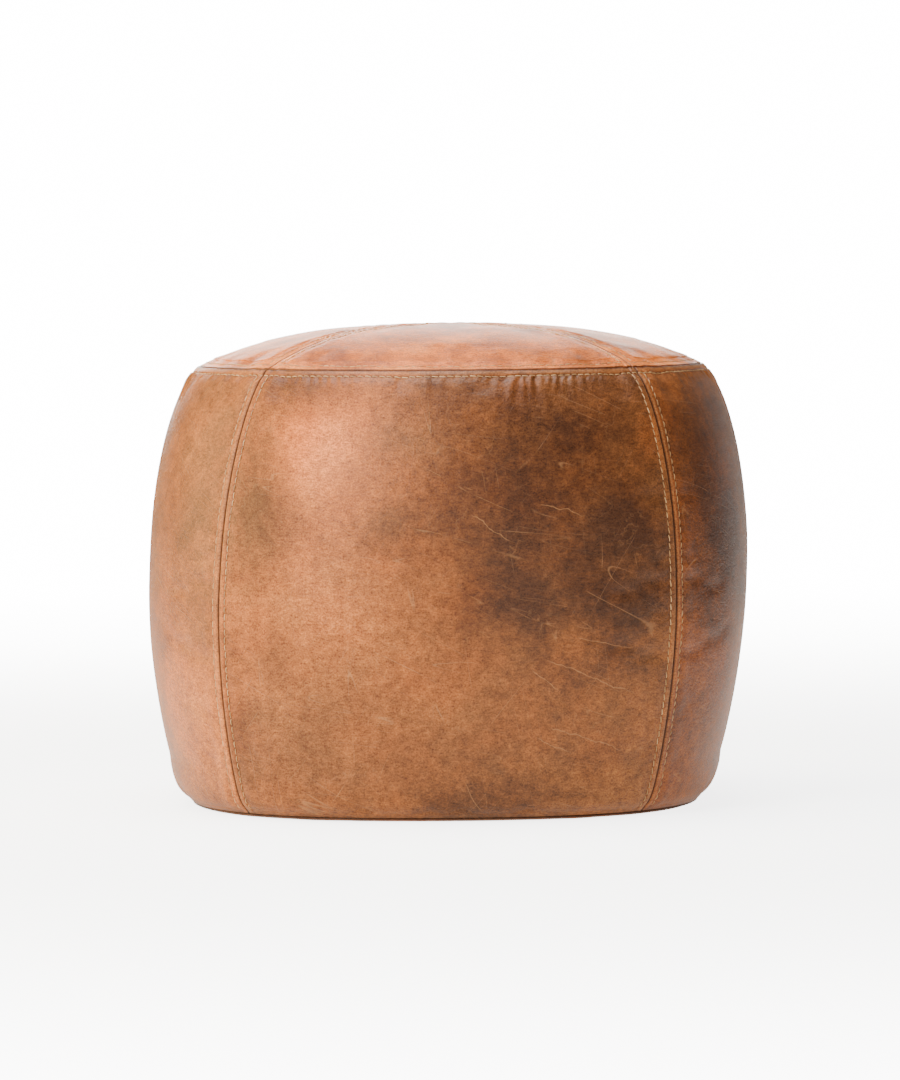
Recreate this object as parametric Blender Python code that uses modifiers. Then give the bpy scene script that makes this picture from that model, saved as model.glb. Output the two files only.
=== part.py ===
"""Moroccan leather pouf: a stuffed leather seat that stands on the floor.

Four side panels and four crown wedges are sewn edge to edge over backing tapes.
The base is two halves with a zip between them, and the stuffing sits in a cloth liner.
Metres, +Z up. The origin is the middle of the base, on the floor. The front faces -Y.
"""

import math

import bmesh
import bpy
from mathutils import Vector

# --- driving dimensions -------------------------------------------------------------
WIDTH = 0.560          # across the flats, at the belly
BELLY_Z = 0.206        # height of the widest level
RING_Z = 0.408         # height of the seam between the sides and the crown
RING_R = 0.235         # radius of that seam
CROWN_RISE = 0.0379    # from the ring seam up to the apex
CROWN_POWER = 3.1      # how flat the crown is in its middle
SQUARENESS = 0.060     # how far the four corners stand out at the base, as a share
ROUNDING_POWER = 2.3   # how late the corners go round on the way up to the ring seam
LEATHER = 0.002
SEAM_GAP = 0.0012      # valley between two sewn edges
TAPE = 0.0008          # backing tape's thickness
CLOTH = 0.0010         # liner's thickness
CLEAR = 0.0003         # gap between two pieces that touch on the real pouf
EDGE_ROUND = 0.0006

# the side's outline: how far it draws in from the belly, and how sharply
TOP_DRAW, TOP_POWER = 0.036, 2.45
TOP_TURN, TOP_TURN_POWER = 0.009, 14
FOOT_DRAW, FOOT_POWER = 0.0335, 1.8
FOOT_TURN, FOOT_TURN_POWER = 0.0095, 18

# the zip in the base, in a shallow channel along X that keeps it off the floor
CHANNEL_DEPTH = 0.0065
CHANNEL_FLAT = 0.015       # half the width of the channel's flat roof
CHANNEL_SIDE = 0.019       # width of each sloping side of the channel
CHANNEL_FADE = (0.193, 0.218)  # where the channel runs out, from the middle
SLOT_HALF = 0.0065         # half the width of the slot that shows the zip
SLOT_FADE = (0.1755, 0.1875)   # where the slot closes, from the middle, at the tapes' ends
ZIP_HALF = 0.183           # half the length of the zip's tapes
ROW_GAP = 0.0008           # from the middle to each row of coil
COIL_R = 0.0015
ZIP_TAPE_WIDTH = 0.0132
ZIP_TAPE_Z = CHANNEL_DEPTH + LEATHER + CLEAR

# the slider, centred on SLIDER_X when the zip is closed
SLIDER_X = 0.165
SLIDER_HALF = 0.0055
SLIDER_NOSE, SLIDER_TAIL, SLIDER_SHOULDER = 0.0056, 0.0050, 0.0028  # half widths
NOSE_START = 0.62          # where the nose starts to narrow, as a share of SLIDER_HALF
PLATE = 0.0010
WEB_LENGTH = 0.005         # web that runs between the two rows of coil
FLANGE_LENGTH, FLANGE, FLANGE_BACK = 0.0085, 0.0009, 0.001
BRIDGE_SPAN, BRIDGE_DROP, BRIDGE_ROOT = 0.0072, 0.0032, 0.0005
BRIDGE_R = 0.0006

# the pull tab: an eye that hangs on the bridge, a neck, and a rounded tip with a hole
PULL_LENGTH = 0.026
PULL_THICK = 0.0012
HINGE_DROP = 0.0013        # from the slider's lower plate down to the pull's axis
PULL_BAR = 0.00065         # half the width of the bar behind the bridge
EYE_HALF, NECK_HALF, TIP_HALF = 0.0034, 0.0027, 0.0042
EYE_END, NECK_START = 0.0070, 0.0090
EYE_SLOT_END, EYE_SLOT_HALF = 0.0056, 0.0015
TIP_HOLE_R = 0.0016

STOP_LENGTH = 0.003
STOP_WIDTH = 0.0072        # of the stop across both rows of coil

LINER_INSET = 0.006
LINER_FLOOR = 0.0130       # the liner's underside, clear of the zip
LINER_DROP = 0.0020        # from the ring seam down to the top of the liner's side
LINER_FLOOR_SHARE = 0.985  # the flat underside's reach, as a share of the form's
LINER_SLIT = (0.30, 0.012, 0.010)
STUFFING_INSET = LINER_INSET + CLOTH + 0.0005
BASE_TAPE_REACH = 0.96     # how far in the base tape lies on the base, as a share

# --- how finely the sheets are divided ----------------------------------------------
SIDE_ROWS = 12
PANEL_COLUMNS = 10
CROWN_ROWS = 7
CROWDING = 0.7             # how far rows and columns crowd towards a sheet's edges
BASE_SLICES = 24
BASE_STEPS = (0.0, 0.04, 0.07, 0.10, 0.13, 0.16, 0.32, 0.52, 0.76, 1.0)
SPHERE_SEGMENTS = 32
SPHERE_RINGS = 15
BASE_SHARE, SIDE_SHARE = 0.2, 0.8   # where the base and the side end on that sphere

QUARTER = math.pi / 4
FACINGS = {"front": -math.pi / 2, "right": 0.0, "back": math.pi / 2, "left": math.pi}
CORNERS = {
    "front_right": -QUARTER,
    "back_right": QUARTER,
    "back_left": 3 * QUARTER,
    "front_left": -3 * QUARTER,
}

PARTS = "moroccan_leather_pouf"
CUTTERS = "cutters"


# --- scene helpers ------------------------------------------------------------------
def clear_scene():
    for obj in list(bpy.data.objects):
        bpy.data.objects.remove(obj, do_unlink=True)


def make_collections():
    for name in (PARTS, CUTTERS):
        collection = bpy.data.collections.new(name)
        bpy.context.scene.collection.children.link(collection)


def file_under(obj, collection_name):
    for collection in list(obj.users_collection):
        collection.objects.unlink(obj)
    bpy.data.collections[collection_name].objects.link(obj)


def make_material(name, color, roughness, metallic=0.0):
    material = bpy.data.materials.new(name)
    material.use_nodes = True
    shader = material.node_tree.nodes["Principled BSDF"]
    shader.inputs["Base Color"].default_value = (*color, 1.0)
    shader.inputs["Roughness"].default_value = roughness
    shader.inputs["Metallic"].default_value = metallic
    return material


def make_materials():
    return {
        "leather": make_material("cognac_leather", (0.42, 0.17, 0.06), 0.38),
        "crown": make_material("cognac_leather_crown", (0.46, 0.20, 0.09), 0.36),
        "base": make_material("base_leather", (0.20, 0.08, 0.035), 0.6),
        "tape": make_material("backing_tape", (0.33, 0.28, 0.22), 0.9),
        "liner": make_material("liner_cotton", (0.62, 0.56, 0.46), 0.95),
        "stuffing": make_material("cotton_stuffing", (0.78, 0.75, 0.68), 1.0),
        "zip": make_material("zip_tape", (0.07, 0.035, 0.02), 0.7),
        "brass": make_material("aged_brass", (0.44, 0.30, 0.12), 0.35, 1.0),
    }


def finish_piece(obj, name, material, shade=40):
    """Name a piece, give it its material and put it with the other parts."""
    obj.name = name
    obj.data.name = name
    obj.data.materials.clear()
    obj.data.materials.append(material)
    file_under(obj, PARTS)
    if obj.type == "MESH":
        obj.data.shade_smooth()
        obj.data.set_sharp_from_angle(angle=math.radians(shade))
    return obj


def make_tool(obj):
    """Mark an object as a shape that another piece is joined to or cut by."""
    obj.hide_render = True
    obj.display_type = "WIRE"
    file_under(obj, CUTTERS)
    return obj


def combine(obj, tool, operation):
    modifier = obj.modifiers.new(operation.lower(), "BOOLEAN")
    modifier.operation = operation
    modifier.solver = "EXACT"
    modifier.object = tool


def weld(mesh):
    cage = bmesh.new()
    cage.from_mesh(mesh)
    bmesh.ops.remove_doubles(cage, verts=cage.verts, dist=1e-6)
    cage.to_mesh(mesh)
    cage.free()


def thicken(obj, thickness):
    modifier = obj.modifiers.new("thickness", "SOLIDIFY")
    modifier.thickness = thickness
    modifier.offset = -1.0


def round_edges(obj, width):
    modifier = obj.modifiers.new("edges", "BEVEL")
    modifier.width = width
    modifier.segments = 1
    modifier.limit_method = "ANGLE"
    modifier.angle_limit = math.radians(50)


# --- the form of the pouf -----------------------------------------------------------
def side_radius(z):
    """Radius across the flats at a height on the side."""
    if z >= BELLY_Z:
        t = (z - BELLY_Z) / (RING_Z - BELLY_Z)
        return WIDTH / 2 - TOP_DRAW * t**TOP_POWER - TOP_TURN * t**TOP_TURN_POWER
    t = (BELLY_Z - z) / BELLY_Z
    return WIDTH / 2 - FOOT_DRAW * t**FOOT_POWER - FOOT_TURN * t**FOOT_TURN_POWER


def on_side(angle, z):
    """Point on the side: round at the ring seam, a softly rounded square below."""
    squareness = SQUARENESS * (1 - (z / RING_Z) ** ROUNDING_POWER)
    radius = side_radius(z) * (1 + squareness * (1 - math.cos(4 * angle)) / 2)
    return Vector((radius * math.cos(angle), radius * math.sin(angle), z))


def on_crown(angle, run):
    """Point on the crown, run metres in from the ring seam."""
    radius = RING_R - run
    height = RING_Z + CROWN_RISE * (1 - (radius / RING_R) ** CROWN_POWER)
    return Vector((radius * math.cos(angle), radius * math.sin(angle), height))


def inset(surface, angle, along, depth):
    """Point under a surface, depth metres in along its normal."""
    step = 1e-4
    at = min(along, RING_R - 0.01) if surface is on_crown else along
    across = surface(angle + step, at) - surface(angle - step, at)
    rise = surface(angle, at + step) - surface(angle, at - step)
    return surface(angle, along) - across.cross(rise).normalized() * depth


def crowd(index, count):
    """Share from 0 to 1 of a line, with the divisions closer together near both ends."""
    share = 2 * index / count - 1
    return (share + CROWDING * math.sin(math.pi * share) / math.pi + 1) / 2


def side_row(row):
    low = LEATHER + 2 * CLEAR
    high = RING_Z - SEAM_GAP / 2
    return low + (high - low) * crowd(row, SIDE_ROWS)


def crown_row(row):
    first = SEAM_GAP / 2
    last = RING_R - SEAM_GAP / 2 / math.sin(QUARTER)
    return first + (last - first) * crowd(row, CROWN_ROWS)


def smooth_fade(value, limits):
    """1 up to the first limit, 0 past the second, smooth between."""
    t = min(max((value - limits[0]) / (limits[1] - limits[0]), 0.0), 1.0)
    return 1 - t * t * (3 - 2 * t)


def make_sheet(columns, rows, place):
    """A grid whose every corner is put in its place on the form."""
    bpy.ops.mesh.primitive_grid_add(x_subdivisions=columns, y_subdivisions=rows, size=2)
    obj = bpy.context.object
    for vertex in obj.data.vertices:
        column = round((vertex.co.x + 1) / 2 * columns)
        row = round((vertex.co.y + 1) / 2 * rows)
        vertex.co = place(column, row)
    weld(obj.data)
    return obj


# --- leather ------------------------------------------------------------------------
def make_side_panel(facing, center, material):
    def place(column, row):
        z = side_row(row)
        half = QUARTER - SEAM_GAP / 2 / side_radius(z)
        return on_side(center + half * (2 * crowd(column, PANEL_COLUMNS) - 1), z)

    obj = make_sheet(PANEL_COLUMNS, SIDE_ROWS, place)
    thicken(obj, LEATHER)
    round_edges(obj, EDGE_ROUND)
    return finish_piece(obj, f"side_panel_{facing}", material)


def make_crown_panel(facing, center, material):
    def place(column, row):
        run = crown_row(row)
        half = QUARTER - math.asin(min(SEAM_GAP / 2 / (RING_R - run), math.sin(QUARTER)))
        return on_crown(center + half * (2 * crowd(column, PANEL_COLUMNS) - 1), run)

    obj = make_sheet(PANEL_COLUMNS, CROWN_ROWS, place)
    thicken(obj, LEATHER)
    round_edges(obj, EDGE_ROUND)
    return finish_piece(obj, f"crown_panel_{facing}", material)


def slot_edge(x):
    """Half the width of the opening between the two base halves."""
    closed = SEAM_GAP / 2
    return closed + (SLOT_HALF - closed) * smooth_fade(abs(x), SLOT_FADE)


def channel_height(x, y):
    """How far the base is drawn up off the floor around the zip."""
    across = smooth_fade(abs(y), (CHANNEL_FLAT, CHANNEL_FLAT + CHANNEL_SIDE))
    return CHANNEL_DEPTH * across * smooth_fade(abs(x), CHANNEL_FADE)


def make_base_panel(facing, center, material):
    """Half of the base, in slices across it from the zip out to the side seam."""
    foot = side_row(0)
    side = math.sin(center)

    def place(column, row):
        angle = center - math.pi / 2 + math.pi * column / BASE_SLICES
        rim = on_side(angle, foot)
        inner = slot_edge(rim.x)
        outer = max(abs(rim.y), inner)
        y = side * (inner + (outer - inner) * BASE_STEPS[row])
        return Vector((rim.x, y, channel_height(rim.x, y)))

    obj = make_sheet(BASE_SLICES, len(BASE_STEPS) - 1, place)
    thicken(obj, LEATHER)
    return finish_piece(obj, f"base_panel_{facing}", material)


# --- backing tapes under the seams --------------------------------------------------
def seam_angle(corner, column):
    """Angle of one of a tape's three lines: the seam and the panel line beside it."""
    beside = 2 * QUARTER * crowd(1, PANEL_COLUMNS)
    return corner + beside * (column - 1)


def make_side_tape(name, corner, material):
    def place(column, row):
        return inset(on_side, seam_angle(corner, column), side_row(row + 1), LEATHER + CLEAR)

    obj = make_sheet(2, SIDE_ROWS - 2, place)
    thicken(obj, TAPE)
    return finish_piece(obj, f"side_seam_tape_{name}", material)


def make_crown_tape(name, corner, material):
    def place(column, row):
        run = crown_row(row + 1)
        return inset(on_crown, seam_angle(corner, column), run, LEATHER + CLEAR)

    obj = make_sheet(2, CROWN_ROWS - 2, place)
    thicken(obj, TAPE)
    return finish_piece(obj, f"crown_seam_tape_{name}", material)


def ring_angle(column):
    """Angle around the whole pouf, on the panels' own lines."""
    panel, step = divmod(column, PANEL_COLUMNS)
    return QUARTER * (2 * panel - 1) + 2 * QUARTER * crowd(step, PANEL_COLUMNS)


def make_ring_tape(name, section, material):
    """A closed tape around the pouf; section gives the points across it, bottom first."""

    def place(column, row):
        return section(ring_angle(column), row)

    obj = make_sheet(4 * PANEL_COLUMNS, 2, place)
    thicken(obj, TAPE)
    return finish_piece(obj, name, material)


def crown_ring_section(angle, row):
    """From just below the ring seam, over it, to just above it."""
    depth = LEATHER + CLEAR
    past_tapes = CLEAR + TAPE
    if row == 0:
        return inset(on_side, angle, side_row(SIDE_ROWS - 1) + past_tapes, depth)
    if row == 1:
        return inset(on_crown, angle, 0.0, depth + CLEAR)
    return inset(on_crown, angle, crown_row(1) - past_tapes, depth)


def base_ring_section(angle, row):
    """From the base, round the corner, up the inside of the side panels."""
    depth = LEATHER + CLEAR
    if row == 2:
        return inset(on_side, angle, side_row(1) - TAPE, depth)
    if row == 1:
        return inset(on_side, angle, side_row(0) + CLEAR, depth + CLEAR)
    point = on_side(angle, side_row(0)) * BASE_TAPE_REACH
    point.z = LEATHER + 2 * CLEAR
    return point


# --- liner and stuffing -------------------------------------------------------------
def make_filled_form(depth, floor_z):
    """The pouf's whole form, smaller by depth, with a flat underside at floor_z."""
    bpy.ops.mesh.primitive_uv_sphere_add(segments=SPHERE_SEGMENTS, ring_count=SPHERE_RINGS, radius=1)
    obj = bpy.context.object
    low, high = floor_z, RING_Z - LINER_DROP
    for vertex in obj.data.vertices:
        angle = math.atan2(vertex.co.y, vertex.co.x)
        share = 0.5 + math.asin(max(-1.0, min(1.0, vertex.co.z))) / math.pi
        if share <= BASE_SHARE - 1e-4:
            rim = inset(on_side, angle, low, depth) * LINER_FLOOR_SHARE * share / BASE_SHARE
            vertex.co = (rim.x, rim.y, floor_z)
        elif share <= SIDE_SHARE + 1e-4:
            t = (share - BASE_SHARE) / (SIDE_SHARE - BASE_SHARE)
            vertex.co = inset(on_side, angle, low + (high - low) * t, depth)
        else:
            t = (share - SIDE_SHARE) / (1 - SIDE_SHARE)
            vertex.co = inset(on_crown, angle, RING_R * t, depth)
    return obj


def make_liner(material):
    """Cloth bag around the stuffing, with the slit that it is filled through."""
    obj = make_filled_form(LINER_INSET, LINER_FLOOR)
    thicken(obj, CLOTH)
    bpy.ops.mesh.primitive_cube_add(size=1, location=(0, 0, LINER_FLOOR))
    slit = bpy.context.object
    slit.name = "liner_slit"
    slit.scale = LINER_SLIT
    combine(obj, make_tool(slit), "DIFFERENCE")
    return finish_piece(obj, "inner_liner", material)


def make_stuffing(material):
    obj = make_filled_form(STUFFING_INSET, LINER_FLOOR + STUFFING_INSET - LINER_INSET)
    return finish_piece(obj, "stuffing", material)


# --- zip ----------------------------------------------------------------------------
def flat_outline(splines, half_thickness):
    """A filled flat shape from closed outlines; a second outline is a hole in it."""
    curve = bpy.data.curves.new("outline", "CURVE")
    curve.dimensions = "2D"
    curve.fill_mode = "BOTH"
    curve.extrude = half_thickness
    for points in splines:
        spline = curve.splines.new("POLY")
        spline.points.add(len(points) - 1)
        for point, (x, y) in zip(spline.points, points):
            point.co = (x, y, 0.0, 1.0)
        spline.use_cyclic_u = True
    obj = bpy.data.objects.new("outline", curve)
    bpy.context.scene.collection.objects.link(obj)
    return obj


def arc(center_x, center_y, radius, start, end, steps):
    """Points along an arc, in degrees."""
    points = []
    for index in range(steps + 1):
        angle = math.radians(start + (end - start) * index / steps)
        points.append((center_x + radius * math.cos(angle), center_y + radius * math.sin(angle)))
    return points


def curve_to_mesh(obj):
    """The curve object's solid as a mesh object in the same place."""
    bpy.context.view_layer.update()
    evaluated = obj.evaluated_get(bpy.context.evaluated_depsgraph_get())
    mesh = bpy.data.meshes.new_from_object(evaluated)
    weld(mesh)
    solid = bpy.data.objects.new(obj.name, mesh)
    solid.matrix_world = obj.matrix_world
    bpy.context.scene.collection.objects.link(solid)
    bpy.data.objects.remove(obj, do_unlink=True)
    return solid


def make_zip_tape(facing, side, material):
    """One tape with its row of coil as a bead along the inner edge."""
    lean = math.degrees(math.asin((COIL_R - TAPE) / COIL_R))
    outline = [(ROW_GAP, TAPE), (ROW_GAP + ZIP_TAPE_WIDTH, TAPE), (ROW_GAP + ZIP_TAPE_WIDTH, 0.0)]
    outline += arc(ROW_GAP + COIL_R, TAPE - COIL_R, COIL_R, lean, -180, 7)
    obj = flat_outline([[(side * y, z) for y, z in outline]], ZIP_HALF)
    # the outline's x lies along world Y and its y along Z, so the extrusion runs along X
    obj.rotation_euler = (math.pi / 2, 0.0, math.pi / 2)
    obj.location = (0.0, 0.0, ZIP_TAPE_Z)
    return finish_piece(curve_to_mesh(obj), f"zip_tape_{facing}", material)


def make_block(size, center):
    bpy.ops.mesh.primitive_cube_add(size=1, location=center)
    obj = bpy.context.object
    for vertex in obj.data.vertices:
        vertex.co = Vector(a * b for a, b in zip(vertex.co, size))
    return obj


def plate_outline():
    """The slider's plates: wide at the nose, narrower at the tail."""
    half, start = SLIDER_HALF, SLIDER_HALF * NOSE_START
    front = [(half, SLIDER_SHOULDER), (start, SLIDER_NOSE), (0.0, SLIDER_NOSE), (-half, SLIDER_TAIL)]
    return front + [(x, -y) for x, y in reversed(front)]


def slider_heights():
    """Bottom of the lower plate, top of the lower plate, bottom of the upper plate."""
    coil_low = ZIP_TAPE_Z + TAPE - 2 * COIL_R
    lower_top = coil_low - CLEAR
    return lower_top - PLATE, lower_top, ZIP_TAPE_Z + TAPE + CLEAR


def make_slider(material):
    """Two plates held apart by a web that runs between the rows of coil."""
    low, lower_top, upper = slider_heights()
    obj = flat_outline([plate_outline()], PLATE / 2)
    obj.location = (SLIDER_X, 0.0, low + PLATE / 2)
    obj = curve_to_mesh(obj)

    top = flat_outline([plate_outline()], PLATE / 2)
    top.location = (SLIDER_X, 0.0, upper + PLATE / 2)
    tools = [curve_to_mesh(top)]

    web_low, web_high = lower_top - PLATE / 2, upper + PLATE / 2
    web_size = (WEB_LENGTH, 2 * (ROW_GAP - CLEAR), web_high - web_low)
    tools.append(make_block(web_size, (SLIDER_X, 0.0, (web_low + web_high) / 2)))

    coil_side = ROW_GAP + 2 * COIL_R + CLEAR
    flange_high = ZIP_TAPE_Z - CLEAR
    flange_size = (FLANGE_LENGTH, FLANGE, flange_high - web_low)
    for side in (-1, 1):
        y = side * (coil_side + FLANGE / 2)
        center = (SLIDER_X - FLANGE_BACK, y, (web_low + flange_high) / 2)
        tools.append(make_block(flange_size, center))

    tools.append(make_bridge(low))
    for number, tool in enumerate(tools):
        tool.name = f"slider_shape_{number}"
        combine(obj, make_tool(tool), "UNION")
    return finish_piece(obj, "zip_slider", material, shade=30)


def make_bridge(plate_low):
    """The arch under the slider that holds the pull tab."""
    half_span = BRIDGE_SPAN / 2
    curve = bpy.data.curves.new("bridge", "CURVE")
    curve.dimensions = "3D"
    curve.bevel_depth = BRIDGE_R
    curve.bevel_resolution = 1
    curve.use_fill_caps = True
    arch = [(x * half_span, z * BRIDGE_DROP) for x, z in arc(0.0, 0.0, 1.0, 180, 360, 10)]
    path = [(-half_span, BRIDGE_ROOT)] + arch + [(half_span, BRIDGE_ROOT)]
    spline = curve.splines.new("POLY")
    spline.points.add(len(path) - 1)
    for point, (x, z) in zip(spline.points, path):
        point.co = (x, 0.0, z, 1.0)
    obj = bpy.data.objects.new("bridge", curve)
    obj.location = (SLIDER_X, 0.0, plate_low)
    bpy.context.scene.collection.objects.link(obj)
    return curve_to_mesh(obj)


def make_pull_tab(material):
    """The tab's origin is on its hinge axis, and at rest it lies along -X."""
    low = slider_heights()[0]
    tail = TIP_HALF - PULL_LENGTH
    outer = [(PULL_BAR, -EYE_HALF), (PULL_BAR, EYE_HALF), (-EYE_END, EYE_HALF), (-NECK_START, NECK_HALF)]
    outer += [(tail, TIP_HALF)] + arc(tail, 0.0, TIP_HALF, 90, 270, 10)[1:-1] + [(tail, -TIP_HALF)]
    outer += [(-NECK_START, -NECK_HALF), (-EYE_END, -EYE_HALF)]
    near, far = -PULL_BAR, -EYE_SLOT_END
    slot = [(near, -EYE_SLOT_HALF), (far, -EYE_SLOT_HALF), (far, EYE_SLOT_HALF), (near, EYE_SLOT_HALF)]
    hole = arc(tail, 0.0, TIP_HOLE_R, 0, 324, 9)
    obj = flat_outline([outer, slot, hole], PULL_THICK / 2)
    obj.location = (SLIDER_X, 0.0, low - HINGE_DROP)
    return finish_piece(curve_to_mesh(obj), "zip_pull_tab", material, shade=30)


def make_zip_stops(material):
    """Crimped stops under the coil: one across both rows, and one on each row."""
    low, high = slider_heights()[:2]
    middle = (low + high) / 2
    x = SLIDER_X + SLIDER_HALF + CLEAR + STOP_LENGTH / 2
    bottom_stop = make_block((STOP_LENGTH, STOP_WIDTH, high - low), (-x, 0.0, middle))
    finish_piece(bottom_stop, "zip_bottom_stop", material)
    for name, side in (("front", -1), ("back", 1)):
        center = (x, side * (ROW_GAP + COIL_R), middle)
        top_stop = make_block((STOP_LENGTH, 2 * COIL_R - CLEAR, high - low), center)
        finish_piece(top_stop, f"zip_top_stop_{name}", material)


# --- the whole pouf -----------------------------------------------------------------
def build():
    clear_scene()
    make_collections()
    materials = make_materials()
    for facing, center in FACINGS.items():
        make_side_panel(facing, center, materials["leather"])
        make_crown_panel(facing, center, materials["crown"])
    make_base_panel("front", FACINGS["front"], materials["base"])
    make_base_panel("back", FACINGS["back"], materials["base"])
    for name, corner in CORNERS.items():
        make_side_tape(name, corner, materials["tape"])
        make_crown_tape(name, corner, materials["tape"])
    make_ring_tape("crown_ring_tape", crown_ring_section, materials["tape"])
    make_ring_tape("base_ring_tape", base_ring_section, materials["tape"])
    make_liner(materials["liner"])
    make_stuffing(materials["stuffing"])
    make_zip_tape("front", -1, materials["zip"])
    make_zip_tape("back", 1, materials["zip"])
    make_slider(materials["brass"])
    make_pull_tab(materials["brass"])
    make_zip_stops(materials["brass"])


build()
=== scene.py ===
"""How the Moroccan leather pouf looks: sewn pull-up leather, thread, zip, light and camera.

The form repeats the CAD model's own formula, with its sizes read from the frame. Every
leather panel is a fine closed sheet whose surface is that form plus the relief of the
seams, gathers and creases. The topstitching is real thread, stitch by stitch.
Metres, +Z up, the row frame. The front faces -Y.
"""

import math

import bmesh
import bpy
import numpy as np
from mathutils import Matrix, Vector


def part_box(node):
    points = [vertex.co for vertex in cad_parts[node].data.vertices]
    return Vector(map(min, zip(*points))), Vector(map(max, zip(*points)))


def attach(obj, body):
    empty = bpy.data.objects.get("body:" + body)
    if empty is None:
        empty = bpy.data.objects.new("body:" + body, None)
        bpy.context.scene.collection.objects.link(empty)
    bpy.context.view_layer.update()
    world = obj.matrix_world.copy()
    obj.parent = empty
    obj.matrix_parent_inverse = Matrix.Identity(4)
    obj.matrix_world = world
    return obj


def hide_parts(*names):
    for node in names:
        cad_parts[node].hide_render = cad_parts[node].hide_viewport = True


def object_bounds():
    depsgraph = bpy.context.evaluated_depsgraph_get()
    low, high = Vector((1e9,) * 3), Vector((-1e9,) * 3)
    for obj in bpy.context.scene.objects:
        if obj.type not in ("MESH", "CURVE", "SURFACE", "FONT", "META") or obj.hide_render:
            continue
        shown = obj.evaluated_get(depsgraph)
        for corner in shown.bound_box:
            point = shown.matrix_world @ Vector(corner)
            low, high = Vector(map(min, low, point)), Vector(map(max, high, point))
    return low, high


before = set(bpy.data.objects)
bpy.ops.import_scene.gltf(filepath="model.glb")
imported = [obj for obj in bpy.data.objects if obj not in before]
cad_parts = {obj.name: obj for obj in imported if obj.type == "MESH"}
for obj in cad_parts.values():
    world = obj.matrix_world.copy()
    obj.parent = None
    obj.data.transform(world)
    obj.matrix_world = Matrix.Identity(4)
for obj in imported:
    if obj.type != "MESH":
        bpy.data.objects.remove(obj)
cad_low, cad_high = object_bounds()

# --- sizes, from the frame ----------------------------------------------------------
LEATHER = 0.002
HALF_GAP = 0.0006              # half the valley between two CAD panels
WIDTH = cad_high.x - cad_low.x
APEX_Z = cad_high.z
RING_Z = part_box("side_panel_front")[1].z + HALF_GAP + 0.0004
RING_R = -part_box("crown_panel_front")[0].y + HALF_GAP + 0.0003
FOOT_Z = 0.0026                # lower edge of the side panels, just over the base
BELLY_Z = 0.206
CROWN_RISE = APEX_Z - RING_Z
CROWN_POWER = 3.1
SQUARENESS, SQUARE_POWER = 0.060, 2.3
TOP_DRAW, TOP_POWER = 0.036, 2.45
TOP_TURN, TOP_TURN_POWER = 0.009, 14
FOOT_DRAW, FOOT_POWER = 0.0335, 1.8
FOOT_TURN, FOOT_TURN_POWER = 0.0095, 18

# --- sewing -------------------------------------------------------------------------
ROW = 0.0074                   # from a seam to the topstitch row beside it
SIDE_PITCH = 0.0069            # one stitch and its gap, on the upright seams
RING_PITCH = 0.0067            # the same round the crown
THREAD_R = 0.00043
GATHER_HEIGHT = 0.0024         # of the strongest folds under the ring seam
VALLEY_HALF = 0.00030          # half the width of the open valley in a seam
ROLL = 0.0017                  # how wide each folded edge rounds off into the valley
ROLL_DEPTH = 0.0019            # how deep the valley between them is
RING_DEPTH = 0.0032            # the same at the ring seam, which stands open a little
BAND = 0.0008                  # how far the doubled leather beside a seam stands up
GROOVE = 0.0009                # how deep a row of stitches pulls in
PUFF = 0.0006                  # how far the stuffing swells past the row
PUCKER = 0.00026               # how deep the leather puckers from stitch to stitch
FOOT_TUCK = 0.0030             # how far the lowest edge is drawn in under the pouf

QUARTER = math.pi / 4
FACINGS = {"front": -math.pi / 2, "right": 0.0, "back": math.pi / 2, "left": math.pi}
FACING_NUMBER = {facing: number for number, facing in enumerate(FACINGS)}
CORNERS = {
    "front_right": -QUARTER,
    "back_right": QUARTER,
    "back_left": 3 * QUARTER,
    "front_left": -3 * QUARTER,
}


# --- small numeric tools ------------------------------------------------------------
def smoothstep(x, low, high):
    t = np.clip((x - low) / (high - low), 0.0, 1.0)
    return t * t * (3 - 2 * t)


def bell(x, width):
    return np.exp(-((x / width) ** 2))


NOISE_TABLE = 97


def lattice_noise(x, y, cell_x, cell_y, seed):
    """Smooth noise from -1 to 1 over a plane, with features about one cell wide."""
    rng = np.random.default_rng(seed)
    table = rng.uniform(-1.0, 1.0, (NOISE_TABLE, NOISE_TABLE))
    u, v = x / cell_x + 1000.0, y / cell_y + 1000.0
    i, j = np.floor(u).astype(int), np.floor(v).astype(int)
    fu, fv = u - i, v - j
    fu, fv = fu * fu * (3 - 2 * fu), fv * fv * (3 - 2 * fv)
    i0, i1, j0, j1 = (k % NOISE_TABLE for k in (i, i + 1, j, j + 1))
    low = table[i0, j0] * (1 - fu) + table[i1, j0] * fu
    high = table[i0, j1] * (1 - fu) + table[i1, j1] * fu
    return low * (1 - fv) + high * fv


def layered_noise(x, y, cell, seed, layers=4):
    total, weight, norm = 0.0, 1.0, 0.0
    for layer in range(layers):
        total = total + weight * lattice_noise(x, y, cell, cell, seed + layer)
        norm += weight
        cell, weight = cell * 0.5, weight * 0.55
    return total / norm


def running_total(steps):
    return np.concatenate([[0.0], np.cumsum(steps)])


def graded_lines(length, fine, coarse, edge, both=True):
    """Positions from 0 to length: fine spacing near the ends, coarse in the middle."""
    at = np.linspace(0.0, length, 4000)
    from_end = np.minimum(at, length - at) if both else at
    spacing = fine + (coarse - fine) * smoothstep(from_end, edge, edge * 2.2)
    count = running_total(np.diff(at) / spacing[1:])
    steps = int(round(count[-1]))
    return np.interp(np.linspace(0.0, count[-1], steps + 1), count, at)


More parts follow.
